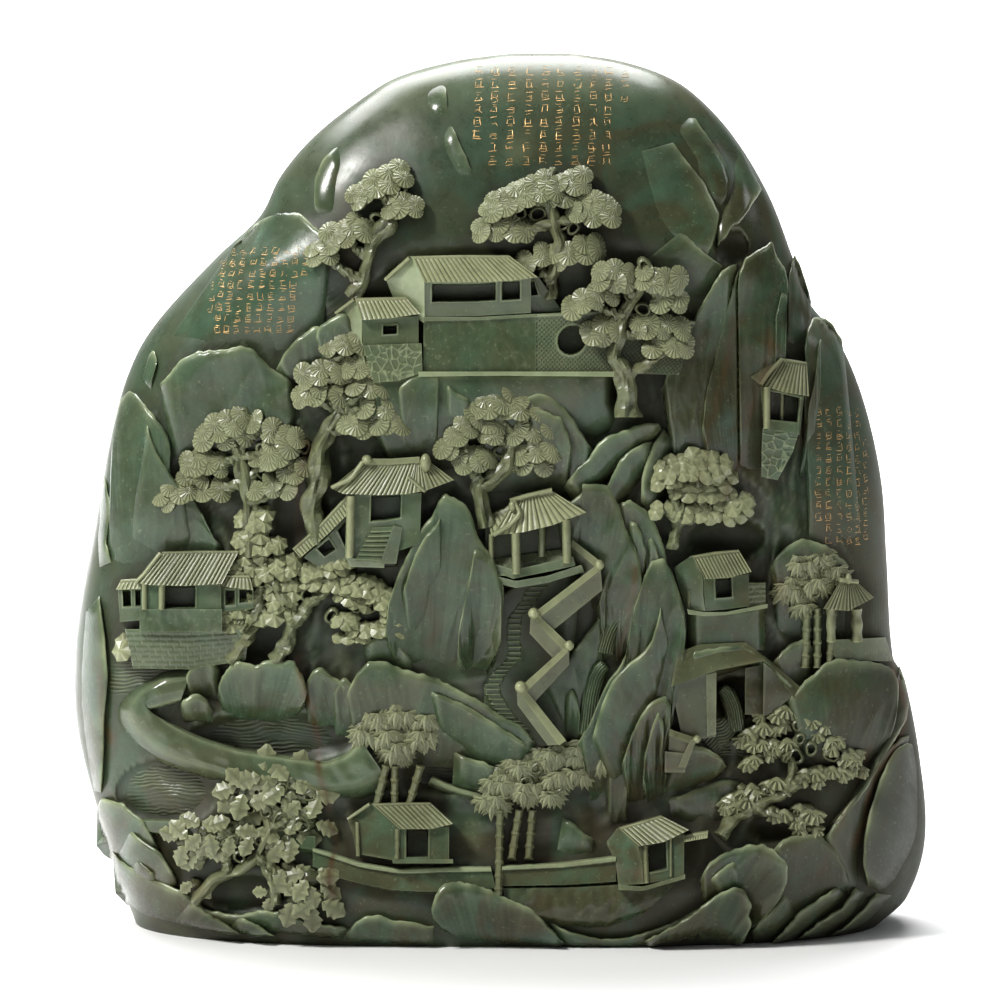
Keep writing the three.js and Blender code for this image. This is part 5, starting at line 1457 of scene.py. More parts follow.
# %% [markdown]
# The parapet climbs to the cliff pavilion in a zigzag. Its copings are the palest lines of the
# middle, painted pale as a highlight on their tops, so coping and face are panels of their own.

# %% Parapet and cave
parapet_panels = [
    # The four links of the zigzag parapet, each a pale coping and the face below it
    ([(48.5, 180.5, 15.5), (16.5, 156, 15.5)], [(49, 177, 16), (17.5, 152.5, 16)], plain, 0.65),
    ([(49, 177.5, 14.5), (17.5, 153, 14.5)], [(50, 167, 12), (23, 145, 13)], plain, 0.22),
    ([(16.5, 156.5, 16), (33.5, 140, 15.5)], [(14.5, 154, 16.5), (31, 137, 16)], plain, 0.65),
    ([(14.5, 154.5, 15), (31, 137.5, 14.5)], [(14, 145.5, 14), (26.5, 132, 13)], plain, 0.25),
    ([(33.5, 140.5, 16), (10, 119.5, 16)], [(33.5, 137, 16.5), (11.5, 116, 16.5)], plain, 0.65),
    ([(33.5, 137.5, 15), (11.5, 116.5, 15)], [(33.5, 130, 13), (16, 111, 13)], plain, 0.22),
    ([(10, 120, 16.5), (32, 92.5, 15.5)], [(7.5, 118, 17), (28.5, 90, 16)], plain, 0.65),
    ([(7.5, 118.5, 15.5), (28.5, 90.5, 15)], [(8, 110, 14), (23, 90, 14)], plain, 0.25),
    # The short link behind the pavilion, and the small parapet at the water
    ([(35, 192, 11), (48.5, 181.5, 14.5)], [(34.5, 188.5, 11), (47, 178, 14.5)], plain, 0.5),
    ([(34.5, 189.5, 10), (47, 179, 13)], [(36, 179.5, 9), (44, 172, 11)], plain, 0.15),
    ([(83.5, 98, 14), (96.5, 93.5, 14)], [(83, 95, 14.5), (95, 90.5, 14.5)], plain, 0.3),
    ([(83, 95.5, 13), (95, 91, 13)], [(83, 86, 12), (91, 82, 12)], plain, 0.15),
    ([(97, 93.5, 14.5), (91.5, 79, 14)], [(93.5, 92.5, 14.5), (87.5, 79, 14)], plain, 0.3),
    ([(81, 87, 14), (92, 86, 14)], [(81, 76.5, 13), (91, 76.5, 13)], plain, 0.1),
    # The cave: its roof slab, the stone at both sides, the jamb painted pale and the inner wall painted dark
    # as its shade
    ([(87.5, 136, 12), (98, 140, 12), (121, 141, 12), (132, 133, 12), (148, 119, 9)], [(84, 119, 13.5),
     (95, 123, 14.5), (106, 127, 15.5), (131.5, 132, 15.5), (146, 112, 11)], plain, 0.12),
    ([(84, 120, 12.5), (106, 127, 13.5)], [(90, 92, 9), (106, 94, 10)], plain, 0.02),
    ([(101.5, 125, 14.2), (106.5, 126, 14.2)], [(102, 94.5, 11), (106.5, 95, 11)], plain, 0.28),
    ([(130, 131, 13.5), (148, 117, 9)], [(130, 104, 10), (136, 107, 8)], plain, 0.02),
    ([(121, 128, 7), (131, 130, 7)], [(121, 105, 6), (131, 105, 6)], scored, 0.05),
]
piece("parapet", [panel(*row) for row in parapet_panels], relief_jade, crease=50)

# %% [markdown]
# ## Trees
# The trees stand out furthest, and their leaf masses catch the light. Each kind has its own mark: a
# pine bears round fans with radial grooves, the tree at the left has pointed star leaves, bamboo has
# long hanging blades, and the trees at the two ends of the foot have lobed leaves and fans of
# petals. A small closed leaf of each kind is worked out once and copied, turned and tilted by seeded
# numbers, over low domes or in rows that overlap like scales.

# %% Leaf shapes
def fan_leaf(ridges=15):
    """A pine fan like a small umbrella: height 0.40 sqrt(1 - 0.85 r^2), with ridges that rise
    towards the rim and a rim that is drawn in beneath."""
    around = np.linspace(0, 2 * np.pi, 2 * ridges + 1)[None, :-1]
    zigzag = np.where(np.arange(2 * ridges) % 2, -1.0, 1.0)[None]
    r = np.array([0.3, 1.0])[:, None]
    reach = r * (1 + 0.01 * zigzag * r)
    height = 0.40 * np.sqrt(1 - 0.85 * r ** 2) + 0.03 * zigzag * r ** 0.5
    rings = np.stack([reach * np.cos(around), reach * np.sin(around), height], -1)
    under = np.stack([0.86 * np.cos(around), 0.86 * np.sin(around), -0.12 + 0 * around], -1)
    # Painted light: ridges paler than the grooves between them, and the underside dark
    light = np.concatenate([0.58 + 0.22 * zigzag * r ** 0.3, 0.1 + 0 * around], 0)
    return shell(np.concatenate([rings, under[0][None]], 0), light)


def star_leaf(tips=6, valley=0.88, fold=0.08):
    """A folded umbrella with pointed tips: the outline and the folds alternate tip and valley."""
    around = np.linspace(0, 2 * np.pi, 2 * tips + 1)[None, :-1]
    tip = (np.arange(2 * tips) % 2 == 0)[None]
    reach = np.where(tip, 1.0, valley)
    near = np.stack([0.16 * np.cos(around), 0.16 * np.sin(around), 0.34 + 0 * around], -1)
    rim = np.stack([reach * np.cos(around), reach * np.sin(around), np.where(tip, fold, -0.04)], -1)
    under = np.stack([0.8 * reach * np.cos(around), 0.8 * reach * np.sin(around), -0.40 + 0 * around], -1)
    # Painted light: the middle and the tips are pale, the valleys darker and the underside dark
    light = np.concatenate([0.85 + 0 * around, np.where(tip, 0.95, 0.4), 0 * around], 0)
    return shell(np.stack([near[0], rim[0], under[0]]), light)


print("points of a fan and a star:", len(fan_leaf()[0]), len(star_leaf()[0]))

# %% Blades and petals
def blade_leaf(outline, rib=0.10, thickness=0.12):
    """A leaf from its stalk at 0 to its tip at 1: half widths at stations, with a raised midrib."""
    ribs = [rib * min(1, 4 * w) + 0.02 for x, w in outline]
    rings = [[(x, -w, 0), (x, -0.08 * w, high), (x, 0.08 * w, high), (x, w, 0), (x, 0, -thickness)]
             for (x, w), high in zip(outline, ribs)]
    # Painted light: the leaf is pale at its edges, darker along the midrib and dark underneath
    light = np.broadcast_to([0.8, 0.35, 0.35, 0.8, 0.0], (len(outline), 5))
    return shell(np.array(rings), light)


def petal_leaf(petals=4):
    """A fan of rounded petals that spread from the stalk, with a groove between each two."""
    front = np.linspace(-1.15, 1.15, 2 * petals + 1)
    inside = (np.arange(2 * petals + 1) % 2 == 1)
    around = np.concatenate([front, [2.1, np.pi, -2.1]])
    reach = np.concatenate([np.where(inside, 1.0, 0.86), [0.3, 0.25, 0.3]])
    crown = np.concatenate([np.where(inside, 0.10, -0.08), [0, 0, 0]])
    near_crown = np.concatenate([np.where(inside, 0.30, 0.16), [0.12, 0.12, 0.12]])
    rings = [np.stack([k * reach * np.cos(around), k * reach * np.sin(around), h], -1)
             for k, h in ((0.5, near_crown), (1.0, crown), (0.7, crown * 0 - 0.4))]
    # Painted light: the petals are pale, the grooves between them and the underside dark
    lit = np.concatenate([np.where(inside, 1.0, 0.2), [0.2, 0.2, 0.2]])
    return shell(np.stack(rings), np.stack([0.5 + 0.5 * lit, lit, 0 * lit]))


print("points of a petal leaf:", len(petal_leaf()[0]))

# %% Copies of a leaf
def scatter(leaf, across, up, proud, turn, size, lean=(0, 0)):
    """Copies of one leaf: point = centre + size (x e1 + y e2 + z n), where n leans off the stone's
    own normal, e1 runs across, e2 up, and both are turned about n."""
    centre = place(across, up, proud)
    e1 = place(across + 0.5, up, proud) - place(across - 0.5, up, proud)
    e2 = place(across, up + 0.5, proud) - place(across, up - 0.5, proud)
    n = np.cross(e1, e2)
    n /= np.linalg.norm(n, axis=-1)[:, None]
    n = n + np.stack([lean[0] + 0 * across, 0 * across, lean[1] + 0 * across], -1)
    return copies_of(leaf, centre, n, turn, size)


def copies_of(leaf, centre, normal, turn, size):
    """Copies of one closed shape at points, facing along normals and turned about them."""
    points, light, faces = leaf
    n = normal / np.linalg.norm(normal, axis=-1)[:, None]
    e1 = np.cross([0.0, 0.0, 1.0], n)
    e1 /= np.linalg.norm(e1, axis=-1)[:, None]
    e2 = np.cross(n, e1)
    c, s = np.cos(turn)[:, None], np.sin(turn)[:, None]
    first, second = e1 * c + e2 * s, e2 * c - e1 * s
    made = centre[:, None] + size[:, None, None] * (
        points[None, :, :1] * first[:, None] + points[None, :, 1:2] * second[:, None]
        + points[None, :, 2:] * n[:, None])
    offset = (np.arange(len(centre)) * len(points))[:, None, None]
    copies = [(f[None] + offset).reshape(-1, f.shape[1]) for f in faces]
    return made.reshape(-1, 3), np.tile(light, len(centre)), copies


facing, one = np.array([[0.0, -1.0, 0.0]]), np.ones(1)
print("points of one copied star:", len(copies_of(star_leaf(), 0 * facing, facing, 0 * one, one)[0]))

# %% [markdown]
# A leaf mass is a lump with leaves over it: in rows that overlap like scales on a pine's flat cloud,
# or pointing outwards from round pads on the others. Hair particles could place them too, but a
# particle isn't part of the mesh, so every copy here is real and rooted in the stone.

# %% Leaf masses
def lump(across, up, radius, depth=7.0, level=1.0, light=0.05, flat=0.8, tilt=0.0):
    """A flattened ball, tilted in the plane of the picture, that roots the leaves in the stone."""
    a, b = np.linspace(0.12, np.pi - 0.12, 9)[:, None], np.linspace(0, 2 * np.pi, 17)[None, :-1]
    unit = np.stack([np.sin(a) * np.cos(b), -np.cos(a) + 0 * b, np.sin(a) * np.sin(b)], -1)
    waves = uneven(unit[..., 0] * 4, unit[..., 2] * 4, 4, int(abs(across) * 7 + up))
    ball = unit * (1 + 0.08 * waves)[..., None] * np.array([radius, depth, radius * flat])
    c, s = math.cos(math.radians(tilt)), math.sin(math.radians(tilt))
    x, y, z = np.moveaxis(ball, -1, 0)
    ball = np.stack([x * c - z * s, y, x * s + z * c], -1)
    return shell(ball + place(across, up, level), light + 0 * b)


GOLDEN_TURN = 2.39996


def spread_over(pads, spacing, seed, level=5.0, dome=4.0):
    """Places on round pads, set as in a sunflower: radius sqrt(k / n), each turned 137.5 degrees on.
    Returns [across, up, proud, dx, dz] for each place, with dx and dz its way out from the middle."""
    dice = np.random.default_rng(seed)
    found = []
    for a, b, r in pads:
        count = max(int((r / spacing) ** 2), 2)
        k = np.arange(count)
        share, turn = np.sqrt((k + 0.5) / count), k * GOLDEN_TURN + dice.uniform(0, 6.28)
        dx, dz = 0.80 * share * np.cos(turn), 0.62 * share * np.sin(turn)
        proud = level + dome * (1 - share ** 2) - 1.5 * dz
        found.append(np.stack([a + r * dx, b + r * dz, proud, dx, dz], -1))
    return np.concatenate(found), dice


def cloud(oval, leaf, size, level, seed, lift=0.55, hang=False):
    """A flattened mass of leaves in a tilted oval of [across, up, half length, half height, tilt]:
    rows of one leaf overlap like scales, and each lower row stands further out."""
    a, b, length, height, tilt = oval
    dice = np.random.default_rng(seed)
    rows = max(int(round(1.9 * height / size)), 1)
    level_line = 1 - (2 * np.arange(rows) + 1) / rows
    reach = np.maximum(length * np.sqrt(1 - 0.8 * level_line ** 2) - 0.4 * size, 0)
    counts = (2 * reach / ((0.8 if hang else 1.2) * size)).round().astype(int) + 1
    u = np.concatenate([np.linspace(-r, r, n) if n > 1 else np.zeros(1) for r, n in zip(reach, counts)])
    v, row = np.repeat(level_line, counts) * height * 0.7, np.repeat(np.arange(rows), counts)
    u = u + dice.uniform(-0.28, 0.28, len(u)) * size
    v = v + dice.uniform(-0.22, 0.22, len(u)) * size
    c, s = math.cos(math.radians(tilt)), math.sin(math.radians(tilt))
    proud = level + 1.4 * row + 2.0 * (1 - (u / length) ** 2)
    lean = (0.8 * u / length + dice.normal(0, 0.18, len(u)), lift + dice.normal(0, 0.18, len(u)))
    turn, sizes = dice.uniform(0, 6.28, len(u)), size * dice.uniform(0.84, 1.12, len(u))
    if hang:
        turn = -1.57 + 0.12 * (turn - 3.14) + 0.5 * u / length
    leaves = scatter(leaf, a + u * c - v * s, b + u * s + v * c, proud, turn, sizes, lean)
    ground = lump(a, b, length * 0.8, depth=6.0, level=level - 3.5, flat=0.8 * height / length, tilt=tilt)
    return [ground, leaves]


print("turn between two leaves of a pad:", GOLDEN_TURN)

# %% Drilled holes and pines
# The lightness paints a highlight on the pit's rim and leaves its well dark
PIT_PROFILE = np.array([[1.9, -9, 0], [1.7, -3.4, 0.1], [1.1, -1.7, 0.2], [0.5, -1.2, 0.25],
                        [0, -1.7, 0], [-0.3, -8, 0]])


def pit(across, up, radius, proud):
    """A round hole left by the drill between two clouds: a smooth rim around a deep, narrowing well.
    PIT_PROFILE gives, from the outside in, how much wider than the hole each ring is, how far it
    stands out in mm, and its lightness."""
    turn = np.linspace(0, 2 * np.pi, 17)[None, :-1]
    wide, out, light = PIT_PROFILE.T
    reach = (radius + wide[:, None]) * (1 + 0.12 * np.cos(2 * turn + across) + 0.05 * np.cos(3 * turn + up))
    rings = np.stack([reach * np.cos(turn), -out[:, None] + 0 * turn, reach * np.sin(turn)], -1)
    return shell(rings + place(across, up, proud), light[:, None] + 0 * turn)


def pine(trunk, radii, ovals, holes_drilled, leaf, size, seed, proud=3.0):
    """A gnarled trunk, a branch to the middle of each cloud, the clouds, and the drilled holes."""
    parts = [tube([(a, b, proud) for a, b in trunk], radii, sides=18, deep=1.7, light=0.30, steps=48,
                  twist=0.26, seed=seed)]
    line = np.array(trunk, float)
    for k, (a, b, length, height, tilt) in enumerate(ovals):
        near = line[np.argmin(np.hypot(line[:, 0] - a, line[:, 1] - b + 4))]
        bend = ((near[0] + a) / 2, (near[1] + b) / 2 - 1.5, proud + 2.0)
        way = [(near[0], near[1], proud + 0.5), bend, (a, b, proud + 1.5)]
        parts.append(tube(way, [3.0, 2.3, 1.8], sides=10, deep=1.7, light=0.30, steps=14, twist=0.22,
                          seed=seed + k))
        parts += cloud((a, b, length, height, tilt), leaf, size, proud + 2.4, seed + 10 * k)
    return parts + pits(proud + 5.5, holes_drilled)


def clouds(ovals, leaf, size, first_seed, lift, hang=False):
    """A mass of leaves in each oval, with seeds counted up from the first."""
    return [part for k, oval in enumerate(ovals)
            for part in cloud(oval, leaf, size, 5.0, first_seed + k, lift, hang)]


def pits(proud, places):
    """Drilled holes at places of [across, up, radius]."""
    return [pit(a, b, r, proud) for a, b, r in places]


BAMBOO_OUTLINE = [(0, 0.03), (0.15, 0.11), (0.4, 0.175), (0.7, 0.12), (1, 0.01)]
LOBED_OUTLINE = [(0, 0.05), (0.18, 0.26), (0.28, 0.20), (0.46, 0.40), (0.55, 0.31), (0.72, 0.36),
                 (0.80, 0.24), (1, 0.08)]
FAN, STAR, PETALS = fan_leaf(), star_leaf(), petal_leaf()
SMALL_STAR = star_leaf(5, 0.93, 0.05)
BAMBOO_LEAF, LOBED_LEAF = blade_leaf(BAMBOO_OUTLINE, 0.06), blade_leaf(LOBED_OUTLINE, 0.05)
leaves = (FAN, STAR, PETALS, SMALL_STAR, BAMBOO_LEAF, LOBED_LEAF)
print("faces of the leaves", [sum(len(faces) for faces in leaf[2]) for leaf in leaves])

# %% [markdown]
# A pine of this carving is a thick knotty trunk with flat clouds of round fans, and the carver
# drilled dark holes between the clouds so that they stand free. Each tree below is its trunk line,
# its thickness, its clouds as tilted ovals, and its drilled holes.

# %% Pines of the left side
left_pines = [
    # The pine shoulder
    *pine([(-74, 312), (-69, 320.5), (-66, 332), (-64, 338), (-57, 347), (-54, 357), (-52, 365)],
          [4.0, 3.4, 3.2, 3.6, 4.2, 3.2, 2.0],
          [(-61, 367, 16, 6.5, 28), (-49, 357, 8.5, 7, -10), (-77, 342.5, 11.5, 7.5, 25),
          (-88, 333, 6, 6.5, 10)],
          [(-67.5, 342, 2.3), (-61.5, 350, 1.8), (-50.5, 364.5, 2.0)], FAN, 5.4, 301),
    # The pine above the covered way
    *pine([(-92, 189), (-94, 207), (-91, 223), (-90, 238), (-85, 247), (-80, 257), (-80, 270.5),
          (-82, 282)],
          [4.8, 4.6, 5.4, 5.2, 4.2, 2.8, 2.4, 1.8],
          [(-90, 274.5, 11, 7, 15), (-95, 264.5, 8.5, 5, 25), (-77.5, 288, 10, 5, 10),
          (-69, 276, 9.5, 4.5, 0), (-66, 267.5, 8.5, 4.5, 0), (-86, 263.5, 7, 5, 0), (-61, 258, 7.5, 6, 0),
          (-56, 250, 8.5, 5.5, -12), (-72, 248.5, 8, 4.5, -20)],
          [(-76.5, 267, 2.0), (-74.5, 259, 2.0), (-67, 259.5, 2.3), (-82, 281.5, 1.7),
          (-85.5, 273, 2.3)], FAN, 5.4, 304, 6.0),
    # The pine left slope
    *pine([(-124, 183), (-124, 198), (-124.5, 210.5), (-127, 220.5), (-129.5, 233), (-127, 243),
          (-126.5, 253), (-126.5, 260.5)],
          [4.4, 4.6, 3.6, 4.0, 3.6, 2.6, 2.0, 1.4],
          [(-138, 248, 14, 6, 25), (-133, 241.5, 7, 4, 10), (-118, 248, 7.5, 7, -30),
          (-147.5, 229.5, 11.5, 6.5, -5), (-159, 217, 14, 6.5, 38), (-143.5, 217.5, 7, 5, 0),
          (-110, 237, 13.5, 7.5, 38), (-118.5, 231.5, 6, 4, 10), (-104, 223, 10, 7, 50),
          (-118.5, 217.5, 7.5, 5, 20)],
          [(-118, 236.5, 2.2), (-113.5, 234, 1.8), (-118, 224.5, 2.4), (-97.5, 237.5, 2.0),
          (-128, 254, 1.6)], FAN, 5.4, 305),
]
print("shapes of the left pines:", len(left_pines))

# %% Pines of the middle and the right
right_pines = [
    # The pine behind the hall
    *pine([(25, 312), (24.5, 320.5), (27, 330.5), (29, 339.5), (26, 349), (23, 359), (23, 368),
          (25.5, 376)],
          [3.8, 3.2, 3.4, 3.2, 3.4, 2.4, 1.8],
          [(10, 361.5, 21, 7.5, 22), (35.5, 368.5, 8, 5.5, 8), (28, 360.5, 5, 4, 0),
          (1.5, 344.5, 14, 5.5, 0), (46, 354.5, 11, 8.5, 0), (36.5, 334, 13.5, 6.5, 12),
          (17, 330.5, 7, 6, 25)],
          [(9, 353.5, 2.4), (18, 352.5, 2.7), (30, 347.5, 2.2), (35.5, 345.5, 2.0), (16.5, 361.5, 2.0),
          (18.5, 324, 2.0)], FAN, 5.4, 302),
    # The pine beside the wall
    *pine([(62, 252), (62, 262), (61, 273), (56, 282), (58, 293), (60, 303), (66, 313), (70.5, 319)],
          [6.4, 4.6, 4.8, 3.6, 3.4, 3.0, 2.6],
          [(56, 322, 9, 7, 0), (44, 310, 13.5, 6, 18), (50, 295, 9, 5.5, 15), (77.5, 320, 12, 6, -8),
          (84, 310, 7.5, 4.5, 0), (77.5, 297, 14, 5.5, -5), (83.5, 287.5, 11, 5, 0)],
          [(64, 319, 2.4), (64, 312, 2.1), (70.5, 327, 1.8), (70, 305.5, 2.4)], FAN, 5.4, 303, 12.0),
    # The pine middle
    *pine([(-7, 198), (-10, 210.5), (-11, 219), (-3, 222.5), (3, 229), (4, 238), (8, 243), (15, 245)],
          [4.2, 3.8, 3.8, 4.4, 4.2, 3.4, 2.8],
          [(-4.5, 259, 12, 6, 12), (10.5, 256.5, 10, 6.5, -8), (-20, 244.5, 13.5, 6.5, 52),
          (15.5, 246.5, 11, 4.5, 5), (18, 235.5, 10.5, 5, 5), (16.5, 228.5, 6.5, 4, 0),
          (-13, 231.5, 9, 5, 15), (-4.5, 246, 4.5, 6, 0)],
          [(10.5, 238.5, 2.2), (-0.5, 235.5, 2.0), (-16.5, 249.5, 1.7), (20.5, 240, 1.5)],
          FAN, 5.4, 306, 6.5),
    # The small-leaved tree of the right slope
    *pine([(85, 187), (85.5, 195), (89, 202.5), (102, 204), (115, 207)],
          [2.8, 3.0, 3.2, 3.0, 2.4],
          [(95, 228, 18, 9, 5), (108, 223, 7.5, 5.5, -25), (83, 221, 7.5, 4.5, 12),
          (118, 210.5, 6.5, 7, 0), (102, 205, 19, 4.5, 0), (81, 207, 6, 4.5, 0), (97.5, 215.5, 15, 4, 0)],
          [(100, 210, 2.8), (111, 211.5, 2.4)], SMALL_STAR, 4.4, 307, 5.0),
]
piece("pines_left", left_pines, relief_jade, flat=True, edges_light=0.3)
piece("pines_right", right_pines, relief_jade, flat=True, edges_light=0.3)

# %% [markdown]
# Three leafy trees follow: one with pointed stars at the left, one with lobed leaves at the left
# foot and one with fans of petals at the right foot. Each is made from trunks, masses and holes.

# %% Leafy tree helpers
def crown(pads, leaf, spacing, sizes, seed, hang=0.0, level=5.0, spread=0.5, proud=1.0):
    """Lumps and leaves that point outwards from each pad, or turn towards down by the hang."""
    at, dice = spread_over(pads, spacing, seed, level)
    a, b, out, dx, dz = at.T
    outwards = np.array([dx, dz]) / np.maximum(np.hypot(dx, dz), 0.05)
    turn = np.arctan2((1 - hang) * outwards[1] - hang, (1 - hang) * outwards[0] + hang * dx)
    turn = turn + dice.uniform(-spread, spread, len(a))
    lean = (dx * 0.45 + dice.normal(0, 0.08, len(a)), dz * 0.4 + 0.12 + dice.normal(0, 0.08, len(a)))
    leaves = scatter(leaf, a, b, out, turn, dice.uniform(*sizes, len(a)), lean)
    return [lump(x, z, r * 0.70, 6.5, proud) for x, z, r in pads] + [leaves]


def stems(lines, radii, seed, proud=2.5):
    """Trunks and branches with uneven bark."""
    return [tube([(a, b, proud) for a, b in line], radii, sides=14, deep=2.2, light=0.35, steps=30,
                 twist=0.18, seed=seed + k)
            for k, line in enumerate(lines)]


print("points of a branch:", len(stems([[(0, 0), (0, 20)]], [2, 1], 1)[0][0]))

# %% The tree with star leaves
maple_trunks = [
    [(-134, 132), (-129, 140), (-124, 148), (-121, 158), (-119, 170)],
    [(-112, 132), (-106, 142), (-104, 150), (-106, 160)],
    [(-104, 150), (-96, 160), (-86, 168)], [(-124, 148), (-132, 154)],
    [(-106, 160), (-112, 170), (-118, 180)],
]
star_tops = [
    (-122.5, 202, 8.5, 5.5, 0), (-125, 194.5, 8, 4.5, 15), (-119, 189, 12, 4.5, -5),
    (-124, 183, 6, 3.5, 0), (-130, 176, 8.5, 5.5, 15), (-116, 176, 11, 4.5, 20), (-108, 179, 7.5, 6, 0),
    (-108, 170, 9, 4, 0), (-137, 156, 11, 5, 12), (-127, 160, 8, 4, 15), (-134, 149, 10, 3.5, 5),
    (-112, 156, 11, 5.5, 10), (-108.5, 163, 7.5, 4.5, 0), (-125, 154, 8, 3.5, 0),
]
round_tops = [
    (-89, 177, 12, 5, 12), (-82, 182, 10, 4.5, 0), (-85, 170, 15, 4.5, -10), (-74, 163, 10, 4.5, -20),
    (-68, 169, 12, 6, -15), (-57.5, 161.5, 10, 6.5, -35), (-62, 148, 14, 4, 0), (-74, 143, 8, 3, 0),
    (-77.5, 152, 7, 4, 0), (-54, 154, 6, 4.5, 0),
]
leafy_trees = stems(maple_trunks, [4.4, 3.4, 2.6], 311)
leafy_trees += clouds(star_tops, STAR, 5.3, 312, 0.75)
leafy_trees += clouds(round_tops, SMALL_STAR, 4.1, 342, 0.85)
leafy_trees += crown([(-189, 138, 5)], STAR, 3.2, (5.2, 6.0), 315, proud=0)
leafy_trees += pits(9, [
    (-119, 165, 2.3), (-122, 185.5, 1.6), (-95, 164.5, 3.0), (-84, 153.5, 2.4), (-71.5, 158.5, 1.9),
    (-64, 158.5, 1.9), (-80, 174.5, 1.5), (-114, 167, 1.6)])
print("shapes of the star-leaved tree:", len(leafy_trees))

# %% The tree with lobed leaves
oak_trunks = [
    [(-152, 13), (-142, 24), (-130, 28), (-121, 35), (-115, 48), (-118, 58)],
    [(-136, 27), (-137, 38), (-139, 46)], [(-121, 35), (-112, 28), (-104, 22)],
    [(-112, 12), (-112, 20), (-118, 30)], [(-115, 48), (-106, 54), (-100, 60)],
]
leafy_trees += stems(oak_trunks, [3.2, 2.8, 2.2], 321)
leafy_trees += crown([(-127, 68, 9), (-118, 74, 9), (-106, 71, 9), (-98, 64, 8), (-112, 64, 7),
                      (-96, 52, 7), (-106, 44, 6)],
                     LOBED_LEAF, 3.4, (11, 14), 322, hang=0.3, level=5.5)
leafy_trees += crown([(-156, 42, 8), (-146, 47, 9), (-134, 48, 8), (-124, 46, 7), (-148, 35, 5)],
                     LOBED_LEAF, 3.4, (10, 13), 323, hang=0.4, level=5.5)
leafy_trees += crown([(-106, 30, 6), (-95, 24, 9), (-92, 13, 7), (-103, 14, 6)],
                     LOBED_LEAF, 3.4, (11, 14), 324, hang=0.3, level=5.5)
leafy_trees += crown([(-152, 21, 5), (-115, 16, 4)], LOBED_LEAF, 3.0, (7, 9), 325, hang=0.5)
leafy_trees += pits(9.5, [
    (-117.5, 63, 2.0), (-109, 68, 1.9), (-104, 70.5, 1.7), (-125, 58, 1.6), (-117, 56.5, 2.1),
    (-109.5, 51.5, 3.2), (-99, 50, 2.8), (-139, 42.5, 1.6), (-133, 42.5, 1.6), (-119, 42, 2.3),
    (-130, 34, 1.8), (-95, 64.5, 1.9)])
print("shapes so far:", len(leafy_trees))

# %% The tree with fans of petals
fruit_trunks = [
    [(108, 44), (115, 54), (126, 60), (140, 66), (145, 74), (144, 84)], [(140, 66), (150, 74), (160, 78)],
    [(126, 60), (136, 56), (146, 52)], [(118, 56), (122, 66), (118, 70)], [(144, 84), (134, 90)],
]
leafy_trees += stems(fruit_trunks, [3.8, 3.2, 2.2], 331)
fruit_tops = [
    (139, 107, 11, 4, 12), (154, 102, 14, 4.5, -28), (132, 99, 12, 4, 10), (128, 92, 10, 4.5, 5),
    (126, 84.5, 8, 4.5, 15), (139, 90.5, 9, 4, 10), (171, 87, 10, 5.5, -30), (162, 94, 7, 3.5, -10),
    (171, 78, 10, 4, 10), (159, 77, 11, 4, -8), (153, 75, 6, 4.5, 0), (119, 65, 12, 5.5, 25),
    (137, 71.5, 7, 3.5, 0), (143, 55, 10, 3.5, -12), (153, 58, 7, 4.5, -30), (152.5, 49, 5.5, 4, 0),
]
leafy_trees += clouds(fruit_tops, PETALS, 6.4, 332, 0.1, hang=True)
leafy_trees += pits(9.5, [
    (146.5, 84, 2.3), (154, 87.5, 2.0), (164, 84.5, 2.4), (148.5, 92.5, 1.5), (147, 99, 1.4),
    (123, 64.5, 1.6), (132.5, 66.5, 1.4)])
piece("leafy_trees", leafy_trees, relief_jade, flat=True, edges_light=0.3)

# %% [markdown]
# Bamboo is jointed canes under bunches of long hanging blades. Each place on a round pad bears a
# small fan of blades, in two layers, so few places make a dense bunch.

# %% Bamboo
BLADES = 7


def bamboo(canes, pads, seed):
    """Jointed canes, whose radius swells at every knot, under bunches of hanging blades."""
    parts = []
    for a, low, high, lean in canes:
        count = int((high - low) / 0.8) + 2
        knots = 1.9 + 0.6 * groove(to_line(np.linspace(0, high - low, count), 6.5), 0.8)
        parts.append(tube([(a, low, 5), (a + lean, high, 5)], knots, sides=10, deep=2.0, light=0.35,
                          steps=count))
    parts += [lump(a, b, r * 0.78, 6.5) for a, b, r in pads]
    fan = np.linspace(-1.25, 1.25, BLADES)
    for layer in range(2):
        at, dice = spread_over(pads, 3.6, seed + layer, 5.0 + 1.2 * layer, 3.5)
        a, b, out, dx, dz = (np.repeat(column, BLADES) for column in at.T)
        spread = np.tile(fan, len(at)) + dice.normal(0, 0.10, len(a))
        turn = -np.pi / 2 + spread + 0.7 * dx
        size = dice.uniform(7.0, 9.0, len(a)) * (1 - 0.12 * np.abs(spread))
        lean = (dx * 0.5 + 0.25 * np.sin(spread), dz * 0.4 - 0.20 + dice.normal(0, 0.05, len(a)))
        out = out + 0.5 * np.cos(3 * spread)
        parts.append(scatter(BAMBOO_LEAF, a + 0.8 * np.sin(spread), b + 3.0, out, turn, size, lean))
    return parts


